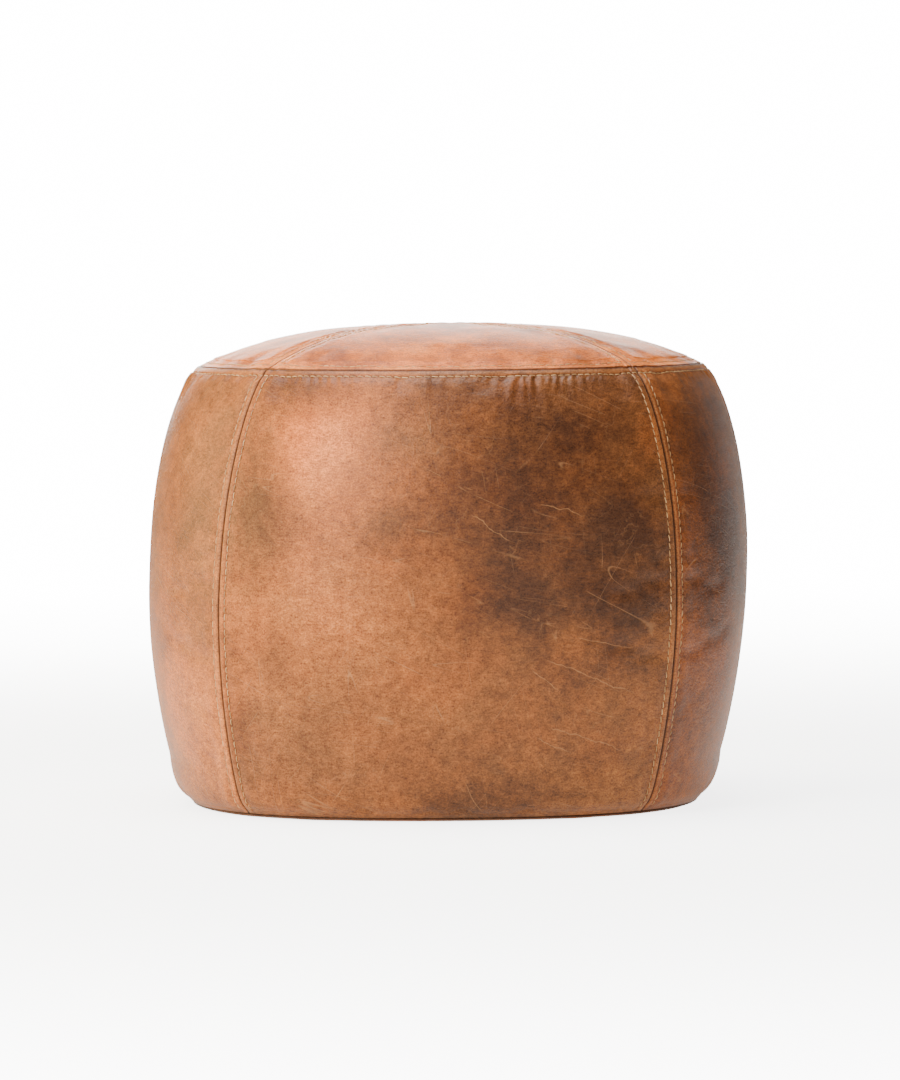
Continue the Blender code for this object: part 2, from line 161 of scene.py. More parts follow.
# --- the form of the pouf -----------------------------------------------------------
def side_radius(z):
    up = np.clip((z - BELLY_Z) / (RING_Z - BELLY_Z), 0.0, 1.0)
    down = np.clip((BELLY_Z - z) / BELLY_Z, 0.0, 1.0)
    upper = TOP_DRAW * up**TOP_POWER + TOP_TURN * up**TOP_TURN_POWER
    lower = FOOT_DRAW * down**FOOT_POWER + FOOT_TURN * down**FOOT_TURN_POWER
    return WIDTH / 2 - upper - lower


def squareness_at(z):
    return SQUARENESS * (1 - (np.clip(z, 0, None) / RING_Z) ** SQUARE_POWER)


def on_side(angle, z):
    radius = side_radius(z) * (1 + squareness_at(z) * (1 - np.cos(4 * angle)) / 2)
    return np.stack([radius * np.cos(angle), radius * np.sin(angle), z + 0 * angle], -1)


def on_crown(angle, run):
    radius = RING_R - run
    height = RING_Z + CROWN_RISE * (1 - (radius / RING_R) ** CROWN_POWER)
    return np.stack([radius * np.cos(angle), radius * np.sin(angle), height + 0 * angle], -1)


def normals_of(surface, angle, along):
    """Unit normals of a surface, pointing out of the pouf."""
    step = 1e-4
    if surface is on_crown:
        along = np.minimum(along, RING_R - 0.004)
    across = surface(angle + step, along) - surface(angle - step, along)
    rise = surface(angle, along + step) - surface(angle, along - step)
    normal = np.cross(across, rise)
    return normal / np.linalg.norm(normal, axis=-1, keepdims=True)


# distance up a side from its foot, and in over the crown from the ring, as arc length
ARC_STEPS = 3000
side_z = np.linspace(FOOT_Z, RING_Z, ARC_STEPS)
side_arc = running_total(np.hypot(np.diff(side_z), np.diff(side_radius(side_z))))
SIDE_ARC = side_arc[-1]
crown_run = np.linspace(0.0, RING_R, ARC_STEPS)
crown_profile = on_crown(np.zeros_like(crown_run), crown_run)
crown_arc = running_total(np.linalg.norm(np.diff(crown_profile, axis=0), axis=1))
CROWN_ARC = crown_arc[-1]


def height_at(arc):
    return np.interp(arc, side_arc, side_z)


def run_at(arc):
    return np.interp(arc, crown_arc, crown_run)


def corner_radius(z):
    return side_radius(z) * (1 + squareness_at(z))


# --- relief of the sewn leather -----------------------------------------------------
def seam_relief(distance, along, pitch, seed, depth=ROLL_DEPTH):
    """Height of the leather over the plain form, at a distance from a seam."""
    into = np.clip(1 - distance / ROLL, 0.0, 1.0)
    rolled = -depth * (1 - np.sqrt(1 - into**2))
    past = distance - ROW
    uneven = 1 + 0.35 * lattice_noise(along, 0 * along, 0.021, 1.0, seed)
    band = BAND * (1 - smoothstep(past, -0.0016, 0.0022))
    holes = 0.78 + 0.22 * np.cos(2 * np.pi * along / pitch)
    groove = -GROOVE * uneven * holes * bell(past, 0.00105)
    puff = PUFF * uneven * bell(past - 0.0085, 0.0065)
    slant = 0.45 * past + 0.0011 * lattice_noise(along, past, 0.017, 0.02, seed + 7)
    strength = smoothstep(lattice_noise(along, 0 * along, 0.034, 1.0, seed + 3), -0.5, 0.7)
    reach = smoothstep(past, 0.0002, 0.0018) * (1 - smoothstep(past, 0.0035, 0.0095))
    pucker = PUCKER * strength * reach * np.cos(2 * np.pi * (along + slant) / pitch)
    return rolled + band + groove + puff + pucker


def near_seam(to_side, to_ring):
    """Distance to the nearest seam; the ring seam reads as a wider one, so the painted valley shade along
    it is wider.
    """
    wide = 0.0010 * (1 - smoothstep(to_ring, 0.002, 0.006))
    return np.minimum(to_side, np.clip(to_ring - wide, 0.0, None))


def gather_folds(across, below, facing):
    """Short upright folds where the side's top edge was eased into the ring seam."""
    rng = np.random.default_rng(40 + FACING_NUMBER[facing])
    height = np.zeros_like(across)
    starts = rng.uniform(-0.155, 0.155, 26)
    folds = [(start, rng.uniform(0.12, 0.42), rng.uniform(0.006, 0.013)) for start in starts]
    center = 0.082 if facing == "front" else rng.uniform(-0.09, 0.09)
    for index in range(11):
        place = center + (index - 5) * 0.0078 + rng.uniform(-0.0018, 0.0018)
        strong = 1.25 * math.exp(-(((index - 5.3) / 4.2) ** 2))
        folds.append((place, strong * rng.uniform(0.65, 1.0), rng.uniform(0.011, 0.021)))
    for place, strong, length in folds:
        width = rng.uniform(0.0019, 0.0031)
        lean = rng.uniform(-0.10, 0.10)
        t = (across - place - lean * below) / (width * (1 + 14 * below))
        ridge = (1 - t * t) * np.exp(-t * t / 2)
        fade = smoothstep(below, ROW - 0.001, ROW + 0.003) * np.exp(-(((below - ROW) / length) ** 2))
        height += GATHER_HEIGHT * strong * ridge * fade
    return height


def soft_wrinkles(x, y, seed):
    """Low swells of the stuffing and faint creases in the skin."""
    swell = 0.0011 * lattice_noise(x, y, 0.105, 0.125, seed)
    swell += 0.00045 * lattice_noise(x, y, 0.045, 0.050, seed + 1)
    crease = np.abs(lattice_noise(x + 0.3 * y, y, 0.034, 0.0055, seed + 2))
    crease *= smoothstep(lattice_noise(x, y, 0.06, 0.06, seed + 3), 0.0, 0.8)
    fine = layered_noise(x, y, 0.0065, seed + 5, 2)
    return swell - 0.00016 * (1 - crease) ** 3 + 0.00005 * fine


def turn_from_middle(facing, angle):
    return (angle - FACINGS[facing] + math.pi) % (2 * math.pi) - math.pi


def side_relief(facing, angle, arc):
    """Relief, distance to the nearest seam, and the flat coordinates of a side panel."""
    seed = 100 + 20 * FACING_NUMBER[facing]
    z = height_at(arc)
    turn = turn_from_middle(facing, angle)
    corner = corner_radius(z)
    to_side = np.clip((QUARTER - np.abs(turn)) * corner - VALLEY_HALF, 0.0, None)
    to_ring = np.clip(SIDE_ARC - arc - VALLEY_HALF, 0.0, None)
    across = turn * (side_radius(z) + corner) / 2
    upright = seam_relief(to_side, arc + 0.5 * (turn > 0), SIDE_PITCH, seed)
    round_ring = seam_relief(to_ring, across, RING_PITCH, seed + 9, RING_DEPTH)
    near = np.minimum(to_side, to_ring)
    relief = np.where(to_side < ROLL, np.minimum(upright, round_ring), upright + round_ring)
    both = (to_side < 2 * ROW) & (to_ring < 2 * ROW)
    in_corner = np.minimum(upright, BAND) + np.minimum(round_ring, BAND) - BAND * 0.5
    relief = np.where(both, in_corner, relief)
    relief = relief + gather_folds(across, to_ring, facing)
    calm = smoothstep(near, 0.004, 0.030) * smoothstep(arc, 0.0, 0.02)
    relief = relief + 0.65 * calm * soft_wrinkles(across, arc, seed + 11)
    relief = relief + SWELL_SHARE * swell_at(SIDE_SWELL, angle, arc / SIDE_ARC)
    foot_tuck = FOOT_TUCK * bell(arc, 0.010)
    return relief - foot_tuck, near_seam(to_side, to_ring), across, arc


def crown_relief(facing, angle, arc):
    """The same four for a crown wedge, with arc measured in from the ring seam."""
    seed = 300 + 20 * FACING_NUMBER[facing]
    radius = RING_R - run_at(arc)
    turn = turn_from_middle(facing, angle)
    to_corner = np.clip(QUARTER - np.abs(turn), 0, None)
    to_side = np.clip(radius * np.sin(to_corner) - VALLEY_HALF, 0.0, None)
    to_ring = np.clip(arc - VALLEY_HALF, 0.0, None)
    across = turn * radius
    radial = 0.7 * seam_relief(to_side, arc, RING_PITCH, seed)
    round_ring = seam_relief(to_ring, turn * RING_R, RING_PITCH, seed + 9, RING_DEPTH)
    near = np.minimum(to_side, to_ring)
    relief = np.where(near < 2 * ROW, np.minimum(radial, round_ring), radial + round_ring)
    far = np.minimum(radial, round_ring)
    relief = far * (1 - smoothstep(near, ROW, 2 * ROW)) + relief * smoothstep(near, ROW, 2 * ROW)
    calm = smoothstep(near, 0.004, 0.030)
    relief = relief + 0.8 * calm * soft_wrinkles(across, arc, seed + 11)
    relief = relief + SWELL_SHARE * swell_at(CROWN_SWELL, angle, arc / CROWN_ARC)
    return relief, near_seam(to_side, to_ring), across, arc


# --- how the stuffing fills the casing ------------------------------------------------
PANEL_STEPS = 26          # casing mesh: steps across one panel, up a side, over the crown
SIDE_STEPS, CROWN_STEPS = 44, 22
START_SLACK = 0.0035      # how far inside the form a panel's middle starts
SWELL_CAP = 0.0040        # no point of the casing ends further from the form than this
SWELL_SHARE = 0.6         # how much of the simulated swell the fine panels take up
LEAN = 0.0095             # how far the stuffed body leans to its right at the top
CASING_END = 0.985        # the casing mesh stops just short of the apex
CLOTH_FRAMES = 20
CLOTH = {
    "vertex_group_mass": "seams",
    "use_pressure": True,
    "uniform_pressure_force": 4.0,
    "tension_stiffness": 25.0,
    "compression_stiffness": 25.0,
    "shear_stiffness": 12.0,
    "bending_stiffness": 2.0,
    "shrink_min": -0.012,      # the cut leather has a little ease
    "quality": 6,
}


def casing_mesh():
    """The whole leather casing as one coarse closed mesh, its points and its normals."""
    columns = 4 * PANEL_STEPS
    angles = -3 * QUARTER + 2 * math.pi * np.arange(columns) / columns
    side_angle, side_arcs = np.meshgrid(angles, np.linspace(0.0, SIDE_ARC, SIDE_STEPS + 1))
    over = np.linspace(0.0, CROWN_ARC * CASING_END, CROWN_STEPS + 1)[1:]
    crown_angle, crown_arcs = np.meshgrid(angles, over)
    side_z_values, runs = height_at(side_arcs), run_at(crown_arcs)
    form = np.concatenate([on_side(side_angle, side_z_values), on_crown(crown_angle, runs)])
    normals = np.concatenate([normals_of(on_side, side_angle, side_z_values),
                              normals_of(on_crown, crown_angle, runs)])
    across = np.abs(np.sin(2 * (side_angle[0] + QUARTER)))
    along = np.concatenate([np.sin(np.pi * side_arcs[:, 0] / SIDE_ARC),
                            np.sin(np.pi * crown_arcs[:, 0] / CROWN_ARC)])
    slack = START_SLACK * np.sqrt(np.clip(along[:, None] * across[None, :], 0, 1))
    points = form - normals * slack[..., None]
    rows = len(points)
    index = np.arange(rows * columns).reshape(rows, columns)
    ahead = np.roll(index, -1, axis=1)
    quads = np.stack([index[:-1], ahead[:-1], ahead[1:], index[1:]], -1).reshape(-1, 4)
    faces = np.concatenate([quads.ravel(), index[0, ::-1], index[-1]])
    counts = np.concatenate([np.full(len(quads), 4), [columns, columns]])
    casing = new_object("casing", points.reshape(-1, 3), faces, counts)
    seams = list(index[0]) + list(index[SIDE_STEPS]) + list(index[-1])
    for corner in range(4):
        seams += list(index[:, corner * PANEL_STEPS])
    pins = casing.vertex_groups.new(name="seams")
    pins.add([int(i) for i in set(seams)], 1.0, "REPLACE")
    return casing, form, normals, across


def swell_of_casing():
    """Cloth simulation: the casing, held at its seams, is pushed out by its stuffing.

    Returns how far each point of the coarse side and crown grids swells, in metres.
    """
    casing, form, normals, across = casing_mesh()
    swell = np.zeros(form.shape[:2])
    cloth = casing.modifiers.new("cloth", "CLOTH")
    for setting, value in CLOTH.items():
        setattr(cloth.settings, setting, value)
    cloth.settings.effector_weights.gravity = 0.0
    cloth.collision_settings.use_collision = False
    scene = bpy.context.scene
    for step in range(1, CLOTH_FRAMES + 1):
        scene.frame_set(step)
    settled = casing.evaluated_get(bpy.context.evaluated_depsgraph_get()).to_mesh()
    found = np.empty(len(settled.vertices) * 3, np.float32)
    settled.vertices.foreach_get("co", found)
    moved = ((found.reshape(form.shape) - form) * normals).sum(-1)
    middles = moved[:, PANEL_STEPS // 2::PANEL_STEPS].mean(1, keepdims=True)
    moved -= np.sqrt(across)[None, :] * middles
    swell = SWELL_CAP * np.tanh(moved / SWELL_CAP)
    scene.frame_set(1)
    bpy.data.objects.remove(casing)
    return swell[: SIDE_STEPS + 1], swell[SIDE_STEPS:]


def cubic_sample(grid, row, column):
    """A smooth reading between the points of a grid whose columns go right round."""
    rows, columns = grid.shape
    row = np.clip(row, 0, rows - 1.001)
    i, j = np.floor(row).astype(int), np.floor(column).astype(int)
    total = 0.0
    for di, wi in zip((-1, 0, 1, 2), cubic_weights(row - i)):
        line = np.clip(i + di, 0, rows - 1)
        for dj, wj in zip((-1, 0, 1, 2), cubic_weights(column - j)):
            total = total + wi * wj * grid[line, (j + dj) % columns]
    return total


def cubic_weights(f):
    return (
        ((-0.5 * f + 1.0) * f - 0.5) * f,
        ((1.5 * f - 2.5) * f) * f + 1.0,
        ((-1.5 * f + 2.0) * f + 0.5) * f,
        ((0.5 * f - 0.5) * f) * f,
    )


def swell_at(grid, angle, share):
    """The swell of a side or the crown at an angle, and a share of the way along it."""
    column = (angle + 3 * QUARTER) / (2 * math.pi) * 4 * PANEL_STEPS
    return cubic_sample(grid, share * (grid.shape[0] - 1), column)


def settle(points):
    """The stuffed body's slight lean to its right, none at the floor."""
    moved = points.copy()
    ends = (-0.12, APEX_Z * 1.25)
    moved[..., 0] += LEAN * smoothstep(points[..., 2], *ends)
    moved[..., 0] -= LEAN * smoothstep(0.0, *ends)
    return moved


# --- making meshes ------------------------------------------------------------------
def new_object(name, points, faces, loops_per_face):
    """A mesh object from arrays: points, a flat list of corners, and each face's count."""
    mesh = bpy.data.meshes.new(name)
    mesh.vertices.add(len(points))
    mesh.vertices.foreach_set("co", points.astype(np.float32).ravel())
    mesh.loops.add(len(faces))
    mesh.loops.foreach_set("vertex_index", faces.astype(np.int32))
    mesh.polygons.add(len(loops_per_face))
    starts = np.concatenate([[0], np.cumsum(loops_per_face)[:-1]])
    mesh.polygons.foreach_set("loop_start", starts.astype(np.int32))
    mesh.update(calc_edges=True)
    mesh.validate()
    mesh.shade_smooth()
    obj = bpy.data.objects.new(name, mesh)
    bpy.context.scene.collection.objects.link(obj)
    return obj


def set_numbers(obj, name, values):
    attribute = obj.data.attributes.new(name, "FLOAT", "POINT")
    attribute.data.foreach_set("value", values.astype(np.float32).ravel())


def set_vectors(obj, name, values):
    attribute = obj.data.attributes.new(name, "FLOAT_VECTOR", "POINT")
    attribute.data.foreach_set("vector", values.astype(np.float32).ravel())


INNER_STEP = 8   # the hidden inner face has one line for every 8 of the outer face


def closed_sheet(name, outer, inner):
    """A closed sheet from a fine outer grid and the same grid, inset, read coarsely.

    The rim between the two is one face for each coarse step, so the sheet is watertight.
    """
    rows, columns = outer.shape[:2]
    keep_r = sorted(set(list(range(0, rows - 1, INNER_STEP)) + [rows - 1]))
    keep_c = sorted(set(list(range(0, columns - 1, INNER_STEP)) + [columns - 1]))
    fine = np.arange(rows * columns).reshape(rows, columns)
    quads = np.stack([fine[:-1, :-1], fine[:-1, 1:], fine[1:, 1:], fine[1:, :-1]], -1).reshape(-1, 4)
    coarse_points = inner[np.ix_(keep_r, keep_c)]
    coarse = rows * columns + np.arange(len(keep_r) * len(keep_c)).reshape(len(keep_r), len(keep_c))
    back = np.stack([coarse[:-1, :-1], coarse[1:, :-1], coarse[1:, 1:], coarse[:-1, 1:]], -1).reshape(-1, 4)
    faces = [quads.ravel(), back.ravel()]
    counts = [np.full(len(quads) + len(back), 4)]

    def rim(fine_line, coarse_line, keep, flip):
        for k in range(len(keep) - 1):
            corners = list(fine_line[keep[k]:keep[k + 1] + 1]) + [coarse_line[k + 1], coarse_line[k]]
            faces.append(np.array(corners[::-1] if flip else corners))
            counts.append(np.array([len(corners)]))

    rim(fine[0], coarse[0], keep_c, True)
    rim(fine[-1], coarse[-1], keep_c, False)
    rim(fine[:, 0], coarse[:, 0], keep_r, False)
    rim(fine[:, -1], coarse[:, -1], keep_r, True)
    points = np.concatenate([outer.reshape(-1, 3), coarse_points.reshape(-1, 3)])
    obj = new_object(name, points, np.concatenate(faces), np.concatenate(counts))
    picks = np.concatenate([fine.ravel(), fine[np.ix_(keep_r, keep_c)].ravel()])
    return obj, picks


def leather_attributes(obj, picks, near, across, arc, wear, shade, hue, seed):
    """What the leather's material reads: flat coordinates, mm from a seam, and tones."""
    flat = np.stack([across, arc, np.full_like(across, seed)], -1).reshape(-1, 3)
    set_vectors(obj, "flat", flat[picks])
    set_numbers(obj, "near", 1000 * near.ravel()[picks])
    set_numbers(obj, "wear", wear.ravel()[picks])
    set_numbers(obj, "shade", shade.ravel()[picks])
    set_numbers(obj, "hue", hue.ravel()[picks])


# --- tones of the hide --------------------------------------------------------------
# large patches on the front panel: (across, up, half width, half height, tone)
# a tone below 0 is darker, above 0 lighter, as oil was pushed in or rubbed out; the brightest patch on the
# front is a painted highlight instead
FRONT_PATCHES_AND_PAINTED_HIGHLIGHT = (
    (0.100, 0.300, 0.135, 0.170, -0.78),
    (-0.010, 0.230, 0.045, 0.065, 0.22),
    (0.055, 0.215, 0.050, 0.050, -0.26),
    (0.165, 0.225, 0.060, 0.090, -0.26),
    # painted highlight: the key window's soft glow on the front's upper left, put into the colour as a
    # light patch
    (-0.112, 0.345, 0.055, 0.062, 0.88),
    (-0.120, 0.195, 0.080, 0.055, 0.58),
    (-0.045, 0.112, 0.090, 0.040, 0.10),
    (-0.010, 0.050, 0.230, 0.060, -0.16),
    (-0.178, 0.275, 0.030, 0.070, -0.35),
    (-0.140, 0.405, 0.065, 0.030, -0.60),
    (-0.020, 0.395, 0.050, 0.025, -0.25),
    (0.040, 0.022, 0.090, 0.025, -0.30),
    (-0.120, 0.085, 0.035, 0.030, -0.15),
)
SIDE_PATCHES_AND_PAINTED_HIGHLIGHT = {
    "front": FRONT_PATCHES_AND_PAINTED_HIGHLIGHT,
    "left": (
        (0.170, 0.300, 0.050, 0.060, -0.32),
        (0.160, 0.230, 0.060, 0.120, 0.10),
        (0.150, 0.090, 0.120, 0.085, 0.55),
        (-0.090, 0.300, 0.080, 0.070, -0.45),
        (-0.060, 0.120, 0.070, 0.060, 0.20),
    ),
    "right": (
        (-0.140, 0.310, 0.120, 0.110, -0.70),
        (-0.170, 0.110, 0.080, 0.090, -0.30),
        (-0.120, 0.200, 0.080, 0.060, -0.35),
        (0.090, 0.240, 0.080, 0.090, -0.50),
        (0.050, 0.100, 0.080, 0.050, 0.20),
    ),
    "back": (
        (-0.080, 0.260, 0.110, 0.080, -0.75),
        (0.110, 0.120, 0.080, 0.060, 0.35),
        (0.080, 0.350, 0.070, 0.040, -0.45),
        (-0.120, 0.100, 0.050, 0.060, -0.20),
    ),
}


# the hide's tone over a panel; on the front it also holds the painted highlight patch
def hide_tone_and_painted_highlight(facing, across, arc, seed):
    tone = -0.03 + 0.20 * layered_noise(across, arc, 0.110, seed, 3)
    tone = tone + 0.22 * layered_noise(across, arc, 0.040, seed + 90, 3)
    for x, y, half_x, half_y, value in SIDE_PATCHES_AND_PAINTED_HIGHLIGHT.get(facing, ()):
        wobble = 0.35 * layered_noise(across, arc, 0.040, seed + 50, 3)
        reach = np.sqrt(((across - x) / half_x) ** 2 + ((arc - y) / half_y) ** 2) + wobble
        tone = tone + value * (1 - smoothstep(reach, 0.15, 1.50))
    return tone


def hide_hue(facing, across, arc, seed):
    """How golden (above 0) or red (below 0) the hide is."""
    hue = 0.16 * layered_noise(across, arc, 0.140, seed, 3)
    if facing == "front":
        hue = hue - 0.06 + 0.45 * across - 0.4 * (arc - 0.20)
    if facing == "left":
        hue = hue - 0.10 * smoothstep(across, 0.0, 0.15)
    if facing == "right":
        hue = hue - 0.16 * smoothstep(-across, 0.0, 0.15)
    return hue


# --- leather panels -----------------------------------------------------------------
FINE_LINES = 0.00055           # spacing of a panel's lines beside its seams


def leather_sheet(name, surface, angle, step, relief):
    """A closed leather panel: the form plus its relief outside, and its thickness in."""
    normal = normals_of(surface, angle, step)
    form = surface(angle, step)
    outer = settle(form + normal * relief[..., None])
    inner = settle(form - normal * LEATHER)
    return closed_sheet(name, outer, inner)


def wear_of(across, up, seed):
    return np.clip(layered_noise(across, up, 0.030, seed, 3) * 0.5 + 0.5, 0, 1)


def make_side_panel(facing, center):
    belly_width = 2 * QUARTER * float(corner_radius(np.array(BELLY_Z)))
    columns = graded_lines(belly_width, FINE_LINES, 0.0018, 0.011) / belly_width * 2 - 1
    arcs = graded_lines(SIDE_ARC - VALLEY_HALF, FINE_LINES, 0.0020, 0.013)
    t, arc = np.meshgrid(columns, arcs)
    z = height_at(arc)
    angle = center + t * (QUARTER - VALLEY_HALF / corner_radius(z))
    relief, near, across, up = side_relief(facing, angle, arc)
    obj, picks = leather_sheet(f"leather_side_{facing}", on_side, angle, z, relief)
    seed = FACING_NUMBER[facing]
    wear = wear_of(across, up, 60 + seed)
    shade = hide_tone_and_painted_highlight(facing, across, up, 500 + 10 * seed)
    hue = hide_hue(facing, across, up, 540 + 10 * seed)
    leather_attributes(obj, picks, near, across, up, wear, shade, hue, seed * 3.7)
    return obj


def make_crown_panel(facing, center):
    ring_width = 2 * QUARTER * RING_R
    columns = graded_lines(ring_width, FINE_LINES, 0.0019, 0.011) / ring_width * 2 - 1
    tip = VALLEY_HALF / math.sin(QUARTER)
    length = CROWN_ARC - VALLEY_HALF - tip
    arcs = VALLEY_HALF + graded_lines(length, FINE_LINES, 0.0019, 0.011, both=False)
    t, arc = np.meshgrid(columns, arcs)
    run = run_at(arc)
    radius = np.maximum(RING_R - run, tip)
    valley = np.arcsin(np.clip(VALLEY_HALF / radius, 0, math.sin(QUARTER)))
    angle = center + t * (QUARTER - valley)
    relief, near, across, up = crown_relief(facing, angle, arc)
    obj, picks = leather_sheet(f"leather_crown_{facing}", on_crown, angle, run, relief)
    seed = FACING_NUMBER[facing]
    wear = wear_of(across, up, 80 + seed)
    shade = 0.06 + 1.2 * hide_tone_and_painted_highlight("", across, up, 600 + 10 * seed)
    shade = shade + 1.00 * layered_noise(across, up, 0.042, 660 + 10 * seed, 4)
    hue = -0.12 + 0.5 * hide_hue("", across, up, 640 + 10 * seed)
    leather_attributes(obj, picks, near, across, up, wear, shade, hue, 20 + seed * 3.7)
    weld_tip(obj)
    return obj


WELD = 1e-6


def weld_tip(obj):
    """Join the points of the last row, which all meet at the wedge's tip."""
    cage = bmesh.new()
    cage.from_mesh(obj.data)
    bmesh.ops.remove_doubles(cage, verts=cage.verts, dist=WELD)
    cage.to_mesh(obj.data)
    cage.free()


# --- thread -------------------------------------------------------------------------
STITCH_SIDES = 7
STITCH_LIFT = np.array([-0.00075, -0.00005, 0.00028, 0.00038, 0.00028, -0.00005, -0.00075])
STITCH_WIDTH = np.array([0.45, 0.92, 1.0, 1.0, 1.0, 0.92, 0.45])
STITCH_ALONG = np.array([-0.50, -0.44, -0.24, 0.0, 0.24, 0.44, 0.50])


def stitches(name, rows):
    """Thread along rows; each row gives (place, along from, along to, pitch, seed).

    place takes distances along the seam and returns points on the leather and normals.
    """
    rings, normals_all = [], []
    for place, start, end, pitch, seed in rows:
        rng = np.random.default_rng(seed)
        count = int((end - start) / pitch)
        middle = start + pitch * (np.arange(count) + 0.5) + rng.uniform(-0.0003, 0.0003, count)
        length = pitch * rng.uniform(0.80, 0.88, count)
        along = middle[:, None] + length[:, None] * STITCH_ALONG[None, :]
        shift = rng.uniform(-0.00022, 0.00022, count)[:, None] + 0.00022 * STITCH_ALONG[None, :] * 2
        points, normals = place(along, shift)
        lift = STITCH_LIFT + rng.uniform(-0.00012, 0.00008, count)[:, None]
        rings.append(points + normals * lift[..., None])
        normals_all.append(normals)
    path, normal = np.concatenate(rings), np.concatenate(normals_all)
    obj = tubes(name, path, normal, THREAD_R * STITCH_WIDTH, STITCH_SIDES)
    tone = np.random.default_rng(5).uniform(0, 1, len(path))
    set_numbers(obj, "tone", np.repeat(tone, path.shape[1] * STITCH_SIDES))
    return obj


def tubes(name, path, normal, radius, sides):
    """Closed round tubes along paths of equal numbers of points."""
    tangent = np.gradient(path, axis=1)
    tangent /= np.linalg.norm(tangent, axis=-1, keepdims=True)
    side = np.cross(tangent, normal)
    side /= np.linalg.norm(side, axis=-1, keepdims=True)
    up = np.cross(side, tangent)
    turn = 2 * np.pi * np.arange(sides) / sides
    ring = np.cos(turn)[:, None] * side[:, :, None, :] + np.sin(turn)[:, None] * up[:, :, None, :]
    points = settle(path[:, :, None, :] + np.reshape(radius, (1, -1, 1, 1)) * ring)
    number, steps = path.shape[:2]
    index = np.arange(number * steps * sides).reshape(number, steps, sides)
    ahead = np.roll(index, -1, axis=2)
    quads = np.stack([index[:, :-1], index[:, 1:], ahead[:, 1:], ahead[:, :-1]], -1).reshape(-1, 4)
    caps = np.concatenate([index[:, 0], index[:, -1, ::-1]])
    faces = np.concatenate([quads.ravel(), caps.ravel()])
    counts = np.concatenate([np.full(len(quads), 4), np.full(len(caps), sides)])
    return new_object(name, points.reshape(-1, 3), faces, counts)


def on_leather(surface, relief_of, facing, angle, step, arc):
    """Points on the outside of the leather, and the form's normals there."""
    normal = normals_of(surface, angle, step)
    return surface(angle, step) + normal * relief_of(facing, angle, arc)[0][..., None], normal


def side_row(facing, corner, side):
    """Topstitches on the side panel at one side of an upright seam."""

    def place(arc, shift):
        z = height_at(arc)
        angle = corner + side * (ROW + VALLEY_HALF + shift) / corner_radius(z)
        return on_leather(on_side, side_relief, facing, angle, z, arc)

    return place


def radial_row(facing, corner, side):
    """Topstitches on the crown wedge at one side of a crown seam."""

    def place(arc, shift):
        run = run_at(arc)
        share = np.clip((ROW + VALLEY_HALF + shift) / (RING_R - run), -1, 1)
        angle = corner + side * np.arcsin(share)
        return on_leather(on_crown, crown_relief, facing, angle, run, arc)

    return place


def ring_row(facing, on_the_crown):
    """Topstitches round one quarter of the ring seam, on the crown or on the side."""
    center = FACINGS[facing]

    def place(along, shift):
        angle = center + along / RING_R
        arc = ROW + VALLEY_HALF + shift + 0 * along
        if on_the_crown:
            return on_leather(on_crown, crown_relief, facing, angle, run_at(arc), arc)
        up = SIDE_ARC - arc
        return on_leather(on_side, side_relief, facing, angle, height_at(up), up)

    return place


def facings_beside(corner):
    """The panels clockwise and anticlockwise of a corner."""
    def facing_at(angle):
        return max(FACINGS, key=lambda facing: math.cos(FACINGS[facing] - angle))

    return facing_at(corner - QUARTER), facing_at(corner + QUARTER)


def make_threads():
    made = []
    for name, corner in CORNERS.items():
        before, after = facings_beside(corner)
        seed = 700 + 10 * list(CORNERS).index(name)
        upright = (0.006, SIDE_ARC - 0.0030, SIDE_PITCH)
        made.append(stitches(f"thread_side_seam_{name}", [
            (side_row(before, corner, -1), *upright, seed),
            (side_row(after, corner, 1), *upright, seed + 1)]))
        over = (ROW + 0.003, CROWN_ARC - 1.55 * ROW, RING_PITCH)
        made.append(stitches(f"thread_crown_seam_{name}", [
            (radial_row(before, corner, -1), *over, seed + 2),
            (radial_row(after, corner, 1), *over, seed + 3)]))
    half = QUARTER * RING_R
    rows = []
    for facing in FACINGS:
        seed = 760 + 10 * FACING_NUMBER[facing]
        for crown in (True, False):
            rows.append((ring_row(facing, crown), -half, half, RING_PITCH, seed + crown))
    made.append(stitches("thread_ring_seam", rows))
    slot = (-SLOT_STITCHED, SLOT_STITCHED, SIDE_PITCH)
    made.append(stitches("thread_zip_slot", [(slot_row(-1), *slot, 790), (slot_row(1), *slot, 791)]))
    return made


# --- base and zip -------------------------------------------------------------------
CHANNEL_DEPTH = 0.0065         # how far the base is drawn up off the floor round the zip
CHANNEL_EDGES = (0.015, 0.034)  # where its bank starts and ends, across the zip
CHANNEL_ENDS = (0.193, 0.218)  # and along it
SLOT_HALF = 0.0065
SLOT_ENDS = (0.1755, 0.1875)   # between these the slot closes to a seam
SLOT_ROW = 0.0046              # from the slot's edge to its stitches
SLOT_STITCHED = 0.196          # how far each way its stitches run
ZIP_HALF = 0.183
ZIP_TAPE_Z = CHANNEL_DEPTH + LEATHER + 0.0003
ZIP_TAPE_THICK = 0.0008
ZIP_TAPE_EDGES = (0.0009, 0.0139)
COIL_CENTER = (0.0023, ZIP_TAPE_Z + ZIP_TAPE_THICK - 0.0015)
COIL_LOOP = (0.00115, 0.00112)
COIL_PITCH = 0.00135
COIL_WIRE_R = 0.00033
COIL_TURN_STEPS, COIL_SIDES = 14, 6
BASE_COLUMNS = 260


def slot_edge(x):
    return HALF_GAP + (SLOT_HALF - HALF_GAP) * (1 - smoothstep(np.abs(x), *SLOT_ENDS))


def channel_height(x, y):
    across = 1 - smoothstep(np.abs(y), *CHANNEL_EDGES)
    return CHANNEL_DEPTH * across * (1 - smoothstep(np.abs(x), *CHANNEL_ENDS))


